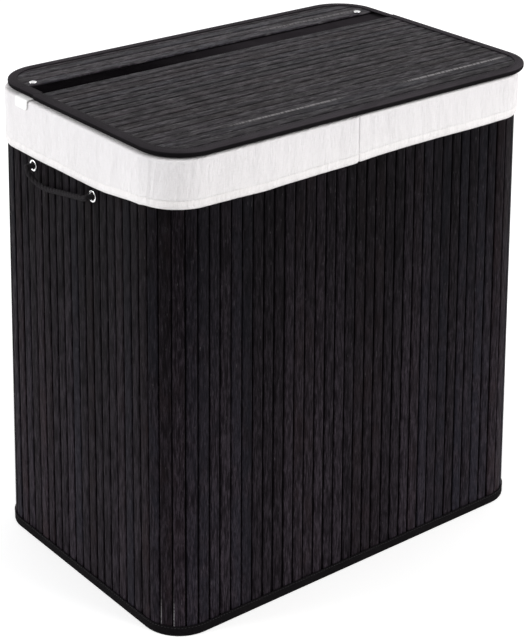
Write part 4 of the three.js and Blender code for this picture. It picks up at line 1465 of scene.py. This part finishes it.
def tape_along(name, lid, step, stations):
    """The tape folded round the lid's edge between stations"""
    cloth, tuck = lid.tape, 0.0024
    # the folds' outer faces, each the middle's height, the radius and the first angle
    turns = ((lid.under + 0.0032, 0.0032, -1.5), (lid.tape_top - 0.0022, 0.0022, 0.0))
    section = [(-lid.tape_under, lid.under)]
    for centre, reach, first in turns:
        for angle in (first + k / 6 * 1.5 for k in range(7)):
            section.append((reach * (math.cos(angle) - 1), centre + reach * math.sin(angle)))
    section += [(-lid.tape_width, lid.tape_top), (-lid.tape_width, lid.top - 0.0001)]
    section += [(-tuck, lid.top - 0.0001), (-cloth, lid.top - 0.0016), (-cloth, lid.under + 0.0030)]
    section += [(-tuck, lid.under + cloth), (-lid.tape_under, lid.under + cloth)]
    return sweep(name, section, lambda height, growth: lid_outline(growth, step), stations, False)


def clipped(shape, low, high):
    """The part of a convex outline between two Y values."""
    for limit, keep_above in ((low, True), (high, False)):
        kept = []
        for a, b in zip(shape, [*shape[1:], shape[0]]):
            a_in, b_in = (a.y >= limit) == keep_above, (b.y >= limit) == keep_above
            if a_in:
                kept.append(a)
            if a_in != b_in:
                kept.append(a.lerp(b, (limit - a.y) / (b.y - a.y)))
        shape = kept
    return shape


def plate(name, shape, low, high):
    """A flat plate of an outline, with a UV map in metres."""
    mesh = bpy.data.meshes.new(name)
    total = len(shape)
    points = [(p.x, p.y, z) for z in (low, high) for p in shape]
    faces = [list(range(total))[::-1], list(range(total, 2 * total))]
    faces += [[i, (i + 1) % total, total + (i + 1) % total, total + i] for i in range(total)]
    mesh.from_pydata(points, [], faces)
    face_outwards(mesh)
    layer = mesh.uv_layers.new(name="UVMap")
    for loop in mesh.loops:
        layer.data[loop.index].uv = mesh.vertices[loop.vertex_index].co.xy
    return mesh


class HAMPER_OT_hinge_band(bpy.types.Operator):
    """Make the cloth band that the flap turns on, with the tape at its ends"""

    bl_idname = "hamper.hinge_band"
    bl_label = "Hinge band"

    def execute(self, context):
        lid = context.scene.hamper_lid
        outline = lid_outline(0, lid.step)
        left, right = outline.low[0] + lid.tape, outline.high[0] - lid.tape
        rear, front = lid.strip_front, lid.flap_rear
        middle = lid.board_high - 0.0005
        rows = []
        for y in (front + (rear - front) * i / 24 for i in range(25)):
            dip = -0.0003 * math.exp(-(((y - (front + rear) / 2) / 0.0016) ** 2))
            across = (left + (right - left) * k / 129 for k in range(130))
            rows.append([(x, y, middle + dip + 0.00022 * noise.noise((x * 30, y * 130, 2))) for x in across])
        mesh = surface("hinge_band_cloth", rows)
        made = piece(mesh, "band", None, ("hinge_band",), thickness=lid.tape)
        right - left
        bending = [made]
        for name, side in SIDES:
            stations = [outline.station_at_y(side, front + (rear - front) * i / 18) for i in range(19)]
            mesh = tape_along("band_tape_" + name, lid, lid.step, stations)
            bending.append(piece(mesh, "lid tape", None))
        for made in bending:
            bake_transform(made)
        return {"FINISHED"}


class HAMPER_OT_straps(bpy.types.Operator):
    """Make the white straps and the rivets that hold them"""

    bl_idname = "hamper.straps"
    bl_label = "Straps and rivets"

    def execute(self, context):
        for name, side in SIDES:
            self.strap(context, name, side)
            self.rivet(context, name, side)
        return {"FINISHED"}

    def strap(self, context, name, side):
        """Out over the cuff from the rivet, round a bend, and down the wall to two rounded corners."""
        s, h = context.scene.hamper_cloth, context.scene.hamper_handles
        high, out, bend = 0.54725, 0.00375, 0.0016
        front_corner, rear_corner = 0.005, 0.0015
        past_rivet, wide_part = 0.012, 0.0243
        start = abs(h.rivet_middle + side * h.rivet_x) - past_rivet
        turn = abs(end_wall(side, high, out))
        low = high - s.strap_drop
        path = [(start + (turn - bend - start) * i / 22, high) for i in range(23)]
        for angle in (0.4, 0.8, 1.2, 1.57):
            path.append((turn - bend * (1 - math.sin(angle)), high - bend * (1 - math.cos(angle))))
        for z in (high - bend + (low - high + bend) * i / 14 for i in range(1, 15)):
            path.append((abs(end_wall(side, z, out)), z))
        rows = []
        for x, z in path:
            at_rivet = x < start + wide_part and z == high
            rear = h.rivet_y + past_rivet if at_rivet else s.strap_y + s.strap_width / 2
            front = s.strap_y - s.strap_width / 2 + corner_inset(z - low, front_corner)
            rear -= corner_inset(z - low, rear_corner)
            rows.append([(side * x, front + (rear - front) * k / 12, z) for k in range(13)])
        mesh = face_outwards(surface("strap_" + name + "_webbing", rows))
        thickness = context.scene.hamper_lid.tape
        piece(mesh, "webbing", nodes=("strap_" + name,), thickness=thickness)

    def rivet(self, context, name, side):
        h, lid = context.scene.hamper_handles, context.scene.hamper_lid
        head, rim = lid.top + 0.0003, 0.0043
        profile = [
            (0, 0.5448), (0.0022, 0.5448), (0.0028, 0.5451), (0.0028, 0.5454),
            (0.0015, 0.5455), (0.0015, head), (0.0041, head), (rim, head + 0.0002),
        ]  # fmt: skip
        for angle in (0, 0.3, 0.6, 0.9, 1.2, 1.4):
            profile.append((rim * math.cos(angle), head + 0.0004 + 0.001 * math.sin(angle)))
        profile.append((0, head + 0.0014))
        place = Matrix.Translation((h.rivet_middle + side * h.rivet_x, h.rivet_y, 0))
        turned("rivet_" + name, profile, place, ("strap_rivet_" + name,))
        washer("washer_" + name, 0.0018, 0.005, 0.5457, 0.5465, place, "rivet_washer_" + name)


def corner_inset(above, radius):
    """How far a rounded corner's edge lies inwards at a height above its end"""
    return radius * (1 - math.sqrt(max(0, 1 - (1 - above / radius) ** 2))) if above < radius else 0


class HAMPER_OT_handles(bpy.types.Operator):
    """Make the rope handles, their knotted ends and the eyelets that they pass through"""

    bl_idname = "hamper.handles"
    bl_label = "Handles"

    def execute(self, context):
        for name, side in SIDES:
            knots = []
            for end_name, end in ENDS:
                label, place = name + "_" + end_name, eyelet_matrix(side, end)
                self.eyelet(label, place)
                knots.append(self.rope_end(context, label, place))
            self.loop(context, name, side, knots)
        return {"FINISHED"}

    def eyelet(self, label, place):
        corners = (
            (0.0043, 0.0016), (0.0065, 0.0016), (0.0065, 0.0003), (0.0049, 0.0003),
            (0.0049, -0.0044), (0.0059, -0.0044), (0.0059, -0.0049), (0.0043, -0.0049),
        )  # fmt: skip
        ring = rounded(corners, 0.0009, 4)
        turned("eyelet_" + label + "_ring", [*ring, ring[0]], place, ("eyelet_" + label,))
        washer("washer_" + label, 0.0052, 0.0072, -0.0041, -0.0033, place, "eyelet_washer_" + label)

    def rope_end(self, context, label, place):
        """From the handle's turning point in through the eyelet to a knot behind the wall."""
        h = context.scene.hamper_handles
        coil, behind, deep, steps = 0.0030, -0.0082, 0.0034, 11
        points = [Vector((0, 0, z)) for z in (h.reach + h.end_gap + h.radius, 0.004, 0, -0.004, -0.0072)]
        for i in range(1, steps + 1):
            turn, wide = i * math.pi / 5, coil * min(1.0, i / 2)
            points.append(Vector((wide * math.cos(turn), wide * math.sin(turn), behind - deep * i / steps)))
        route = [place @ point for point in smooth_path(points, 0.0012)]
        mesh = rope_mesh("rope_end_" + label + "_knot", route)
        return piece(mesh, None, nodes=("rope_end_" + label,))

    def loop(self, context, name, side, knots):
        h = context.scene.hamper_handles
        route = smooth_path(loop_route(side), 0.001)
        meshes = [rope_mesh("rope_" + name, route)]
        for end in (route[0], route[-1]):
            ball = bpy.data.meshes.new("Rope bend")
            with edited(ball) as made:
                bmesh.ops.create_uvsphere(made, u_segments=20, v_segments=12, radius=h.radius * 0.97)
                made.transform(Matrix.Translation(end))
            give_tube_map(ball, route, h.radius)
            meshes.append(ball)
        whole = joined("rope_" + name, meshes)
        whole.materials.append(look("rope"))
        whole.polygons.foreach_set("material_index", [0] * len(whole.polygons))
        made = piece(whole, None, "handle_" + name, ("rope_loop_" + name,))


# Stage


def look_at_photo(stage):
    """The camera where the photograph was taken from."""
    data = bpy.data.cameras.new("Camera")
    camera = bpy.data.objects.new("Camera", data)
    bpy.context.scene.collection.objects.link(camera)
    yaw, pitch, roll = (math.radians(angle) for angle in (stage.yaw, stage.pitch, stage.roll))
    ahead = Vector((math.sin(yaw) * math.cos(pitch), math.cos(yaw) * math.cos(pitch), math.sin(pitch)))
    right = ahead.cross(Vector((0, 0, 1))).normalized()
    up = right.cross(ahead)
    right, up = right * math.cos(roll) + up * math.sin(roll), up * math.cos(roll) - right * math.sin(roll)
    camera.matrix_world = Matrix.Translation(stage.eye) @ Matrix((right, up, -ahead)).transposed().to_4x4()
    data.sensor_width = 36
    data.lens = stage.lens
    data.shift_y = stage.shift
    data.clip_start, data.clip_end = 0.05, 60
    bpy.context.scene.camera = camera


def lamp(name, place, target, power, size, tint):
    """A square lamp at a place, turned towards a target."""
    data = bpy.data.lights.new(name, "AREA")
    data.energy, data.size, data.color = power, size, tint
    made = bpy.data.objects.new(name, data)
    made.location = place
    made.rotation_euler = (Vector(target) - Vector(place)).to_track_quat("-Z", "Y").to_euler()
    bpy.context.scene.collection.objects.link(made)


def seen_white(t):
    """1 where a camera, glossy or transmission ray meets the stage."""
    path = t.outputs(t.node("ShaderNodeLightPath"))
    seen = t.math("MAXIMUM", path["Is Camera Ray"], path["Is Glossy Ray"])
    return t.math("MAXIMUM", seen, path["Is Transmission Ray"])


class HAMPER_OT_stage(bpy.types.Operator):
    """Set up the camera, the lamps, the pale floor and the white surroundings"""

    bl_idname = "hamper.stage"
    bl_label = "Stage"

    warm_white, cool_white = (1.0, 0.99, 0.985), (0.985, 0.99, 1.0)
    floor_drop = 0.0003  # the floor lies this far below the hamper

    def execute(self, context):
        stage = context.scene.hamper_stage
        context.scene.view_settings.view_transform = "Standard"
        look_at_photo(stage)
        lamp("Key lamp", stage.key_place, (0, 0, 0.35), stage.key, stage.key_size, self.warm_white)
        lamp("Side lamp", stage.side_place, (0, 0, 0.3), stage.side, stage.side_size, self.cool_white)
        self.surroundings(context, stage)
        self.floor(context, stage)
        return {"FINISHED"}

    def surroundings(self, context, stage):
        world = bpy.data.worlds.new("Surroundings")
        world.use_nodes = True
        context.scene.world = world
        t = Tree(world.node_tree)
        strength = seen_white(t) * (1.0 - stage.world) + stage.world
        t.set(world.node_tree.nodes["Background"], Color=(1, 1, 1), Strength=strength)

    def floor(self, context, stage):
        base, reach = context.scene.hamper_colours.floor, stage.floor_reach
        mesh = bpy.data.meshes.new("Floor")
        corners = [(x * reach, y * reach, 0) for x, y in ((-1, -1), (1, -1), (1, 1), (-1, 1))]
        mesh.from_pydata(corners, [], [(0, 1, 2, 3)])
        made = bpy.data.objects.new("Floor", mesh)
        context.scene.collection.objects.link(made)
        made.location.z = -self.floor_drop
        t = finish("Floor", 0.9, Specular_IOR_Level=0.0)
        place = t.object_place()
        clouds = t.group("Uneven", Place=place, Cloud=3.0, Speck=90.0)["Clouds"]
        # a faint glow, stronger 4 m away than at 1 m, keeps the floor as white as its surroundings
        glow = seen_white(t) * t.spread(t.vector("LENGTH", place), 1.0, 4.0, 0.42, 0.52)
        t.set(t.shader, Base_Color=t.mix(clouds, base, darker(base, 0.985)))
        t.set(t.shader, Emission_Color=(1, 1, 1), Emission_Strength=glow)
        mesh.materials.append(t.material)


class HAMPER_PT_panel(bpy.types.Panel):
    """The hamper's pieces and their sizes"""

    bl_idname = "HAMPER_PT_panel"
    bl_label = "Laundry hamper"
    bl_space_type = "VIEW_3D"
    bl_region_type = "UI"
    bl_category = "Hamper"

    def draw(self, context):
        for operator in PIECES:
            self.layout.operator(operator.bl_idname)
        for group, name in GROUPS:
            box = self.layout.box()
            box.label(text=group.__doc__)
            values = getattr(context.scene, name)
            for key in group.__annotations__:
                box.prop(values, key)


PIECES = (
    HAMPER_OT_stage,
    HAMPER_OT_handles,
    HAMPER_OT_body_slats,
    HAMPER_OT_base,
    HAMPER_OT_tapes,
    HAMPER_OT_bags,
    HAMPER_OT_lid,
    HAMPER_OT_hinge_band,
    HAMPER_OT_straps,
)


def register():
    for group, name in GROUPS:
        bpy.utils.register_class(group)
        setattr(bpy.types.Scene, name, bpy.props.PointerProperty(type=group))
    for operator in PIECES:
        bpy.utils.register_class(operator)
    bpy.utils.register_class(HAMPER_PT_panel)


def unregister():
    bpy.utils.unregister_class(HAMPER_PT_panel)
    for operator in reversed(PIECES):
        bpy.utils.unregister_class(operator)
    for group, name in reversed(GROUPS):
        delattr(bpy.types.Scene, name)
        bpy.utils.unregister_class(group)


def main():
    register()
    bpy.ops.hamper.stage()
    bpy.ops.hamper.handles()
    bpy.ops.hamper.body_slats()
    bpy.ops.hamper.base()
    bpy.ops.hamper.tapes()
    bpy.ops.hamper.bags()
    bpy.ops.hamper.lid()
    bpy.ops.hamper.hinge_band()
    bpy.ops.hamper.straps()


if __name__ == "__main__":
    main()
